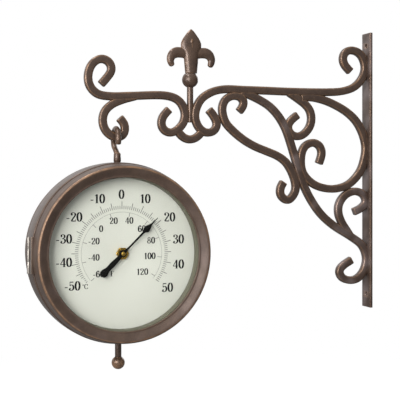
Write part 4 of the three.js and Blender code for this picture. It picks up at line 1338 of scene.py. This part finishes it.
# %% Laying out the print
def together(parts):
    """Several (points, faces) as one."""
    faces, count = [], 0
    for points, own_faces in parts:
        faces += [tuple(i + count for i in face) for face in own_faces]
        count += len(points)
    return np.vstack([points for points, _ in parts]), faces


def write(text, x, z, height, squeeze=1.16):
    """Points and faces of a text centred on x, z."""
    starts = [0.0]
    for letter in text:
        starts.append(starts[-1] + WIDTH.get(letter, USUAL_WIDTH) + BETWEEN)
    wide = (starts[-1] - BETWEEN) * height * squeeze
    placed = []
    for letter, start in zip(text, starts):
        p, faces = LETTERS[letter]
        across = x - wide / 2 + (p[:, 0] + start) * height * squeeze
        placed.append((np.column_stack([across, z + (p[:, 1] - 0.5) * height, p[:, 2]]), faces))
    return together(placed)


def radial_bar(degrees, inner, outer, thick):
    """A tick from inner to outer at a clockwise angle from the top."""
    a = math.radians(degrees)
    out, side = np.array([math.sin(a), math.cos(a)]), np.array([math.cos(a), -math.sin(a)]) * thick / 2
    return prism(*(np.array([out * inner + s, out * outer + s]) for s in (side, -side)))


def arc_band(inner, outer, start, stop):
    a = np.radians(np.linspace(start, stop, 180))
    out = np.column_stack([np.sin(a), np.cos(a)])
    return prism(out * outer, out * inner)


def printed(name, marks, dial, ink):
    """All marks of one ink on a dial, as one piece on the dial's show side."""
    low, high = box_of(dial)
    face_y, way = (low[1], -1) if dial == "thermometer_dial" else (high[1], 1)
    p, faces = together(marks)
    points = np.column_stack([HEAD_X - way * p[:, 0], face_y + way * p[:, 2] * INK, HEAD_Z + p[:, 1]])
    fit(solid(name, points, faces, ink), dial, slot="black_pointer")


CELSIUS_TURN = 2.55
CELSIUS_AT = {
    -50: (-46.1, -28.6), -40: (-53.9, -7.0), -30: (-53.9, 14.3), -20: (-44.4, 34.1),
    -10: (-22.7, 50.6), 0: (-0.4, 54.5), 10: (22.4, 50.3), 20: (45.8, 33.0), 30: (54.4, 12.3),
    40: (54.4, -11.2), 50: (43.7, -32.7),
}
FAHRENHEIT_AT = {
    -60: (-22, -18.4), -40: (-26.2, -3.1), -20: (-26.2, 11.8), 0: (-19.6, 23.1), 20: (-7.8, 30.2),
    40: (7.0, 30.3), 60: (19.0, 22.5), 80: (27.8, 11.6), 100: (26.7, -2.9), 120: (19.6, -17.4),
}
CELSIUS_HIGH, FAHRENHEIT_HIGH, HOUR_HIGH = 8.3, 5.9, 11.5
marks = [write(str(n), *at, CELSIUS_HIGH) for n, at in CELSIUS_AT.items()]
marks += [write(str(n), *at, FAHRENHEIT_HIGH) for n, at in FAHRENHEIT_AT.items()]
marks += [write("oC", -34.4, -29.5, 4.5), write("F", -9.2, -18.4, 5.0)]
printed("thermometer_numbers", marks, "thermometer_dial", print_ink)


def tick_reach(degree):
    """Tens are longest, then fives. The ticks beside the two end numbers stop short of them."""
    if degree == 50:
        return 44.6
    if degree < -47:
        return 42.6
    return 48.0 if degree % 10 == 0 else 47.2 if degree % 5 == 0 else 44.0


ticks = [arc_band(38.0, 38.22, -129, 129)]
for degree in range(-50, 51):
    thick = 0.62 if degree % 5 == 0 else 0.55
    ticks.append(radial_bar(degree * CELSIUS_TURN, 40.8, tick_reach(degree), thick))
for degree in range(-60, 121, 20):
    ticks.append(radial_bar((degree - 32) / 1.8 * CELSIUS_TURN, 34.2, 38.0, 0.5))
printed("thermometer_ticks", ticks, "thermometer_dial", grey_ink)

hours = []
for hour in range(1, 13):
    a = math.radians(hour * 30)
    hours.append(write(str(hour), 53 * math.sin(a), 53 * math.cos(a), HOUR_HIGH))
for minute in range(60):
    inner, thick = (63.6, 1.1) if minute % 5 == 0 else (65.4, 0.4)
    hours.append(radial_bar(minute * 6, inner, 67.2, thick))
printed("clock_numbers", hours, "clock_dial", print_ink)
track = [arc_band(67.4, 67.75, 0, 359.99), arc_band(41.5, 41.8, 0, 359.99)]
printed("clock_track", track, "clock_dial", grey_ink)
print("marks:", len(marks) + len(ticks) + len(hours))

# %% [markdown]
# ## The clock's works
# A quartz movement is a plastic box behind the dial, held by a nut on its threaded bushing. Inside
# are a board, a coil and a train of wheels, and one round cell in a tray. The frame's solids of these
# are right in shape, and are kept. They only need welded corners, a fine bevel on every edge, and
# their own finishes, which are added to the frame's nodes as modifiers and materials.

# %% Finishes for the works
cell_low, cell_high = box_of("battery")
CELL_BAND = cell_high[0] - 14


def cell_look(tree):
    """The jacket of the cell: a dark body and a pale band at its plus end."""
    here = tree.node("SeparateXYZ", {}, {0: tree.place()})
    band_share = tree.step(here, CELL_BAND * MM, (CELL_BAND + 0.4) * MM)
    body = tree.colours((0.02, 0.022, 0.026), (0.04, 0.042, 0.048), tree.mottle(2))
    pale = tree.colours((0.45, 0.36, 0.16), (0.36, 0.28, 0.12), tree.mottle(2))
    return {
        "Base Color": tree.colours(body, pale, band_share),
        "Metallic": 0.5,
        "Roughness": tree.mottle(6) * 0.12 + 0.28,
        "Normal": tree.bump(tree.mottle(1.5, 2), 0.01),
    }


board = finish("green_board", moulded, (0.012, 0.085, 0.035), (0.02, 0.13, 0.05), 0.3, grain=0.5)
wheel_plastic = finish("wheel_plastic", moulded, (0.16, 0.155, 0.14), (0.22, 0.21, 0.19), 0.4)
cell = finish("cell_jacket", cell_look)
print("cell length:", round(cell_high[0] - cell_low[0], 1))

# %% Edges and finishes on the frame's own nodes
WORKS = {
    "movement_case": (plastic, 0.5), "movement_cover": (plastic, 0.4), "battery": (cell, 0.3),
    "circuit_board": (board, 0.15), "drive_coil": (winding, 0.3), "contact_plus": (steel, 0.1),
    "contact_minus": (steel, 0.1), "minute_wheel": (wheel_plastic, 0.1),
    "hour_wheel": (wheel_plastic, 0.1), "minute_arbor": (brass, 0.12),
    "setting_knob": (plastic, 0.2), "fixing_washer": (steel, 0.12),
}
for node, (material, width) in WORKS.items():
    held = frame["nodes"][node]
    held.data.materials.clear()
    held.data.materials.append(material)
    weld = held.modifiers.new("weld", "WELD")
    weld.merge_threshold = 0.002 * MM
    flat = held.modifiers.new("flat_faces", "DECIMATE")
    flat.decimate_type, flat.angle_limit = "DISSOLVE", math.radians(1)
    edge = held.modifiers.new("edges", "BEVEL")
    edge.width, edge.segments, edge.limit_method = width * MM, 2, "ANGLE"
    edge.angle_limit = math.radians(35)
print("nodes kept:", len(WORKS))

# %% [markdown]
# ## Clock hands and the nut
# The hands are the needle's cousins: long leaves that swell to a spade near the tip, a hub, and a
# short tail. They are stamped from sheet and lacquered black. The nut that holds the movement to the
# dial is brass and has six sides.

# %% Hands, nut
def spade_hand(node, name, length, wide, spade, tail, hub, bore, degrees, y0, y1):
    """A hand with a leaf-shaped end. Angles are as seen from the clock side."""
    start = length - spade
    half = [(0.3, length), (0.55, length - 0.2 * spade), (0.9, length - 0.45 * spade)]
    half += [(wide * 0.8, start + 0.42 * spade), (wide, start + 0.2 * spade)]
    half += [(wide * 0.75, start + 0.04 * spade), (1.1, start - 1.5), (1.2, hub + 1.5)]
    half += round_hub(hub) + [(1.5, -hub - 1.0), (1.5, -0.6 * tail), (1.9, -0.85 * tail)]
    half += [(1.2, -tail + 0.2), (0, -tail)]
    hand = sheet_piece(name, smooth_outline(half), y0, y1, -degrees, 0.12)
    combine(hand, spun("hole", cylinder(bore, y0 - 1, y1 + 1), lacquer, sides=40))
    tidy_mesh(hand)
    fit(hand, node)


spade_hand("hour_hand", "hour_sheet", 37, 4.2, 15, 9, 4.6, 2.7, 304.5, 22.7, 23.4)
spade_hand("minute_hand", "minute_sheet", 56, 2.8, 20, 12.3, 3.9, 1.55, 54, 25.7, 26.4)
fit(hex_nut("hex_fixing", 12.1, 4.3, 19.4, 21.6, brass, DRUM, "Y"), "fixing_nut")
print("finishes by now:", len(bpy.data.materials))

# %% Sizes
bpy.context.view_layer.update()
boxes = {"cad": [list(map(float, p)) for p in cad_box], "visual": [list(map(float, p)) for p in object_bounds()]}
growth = np.array(boxes["visual"]) - np.array(boxes["cad"])
print("box growth in mm:", np.round(growth.ravel() / MM, 2).tolist())
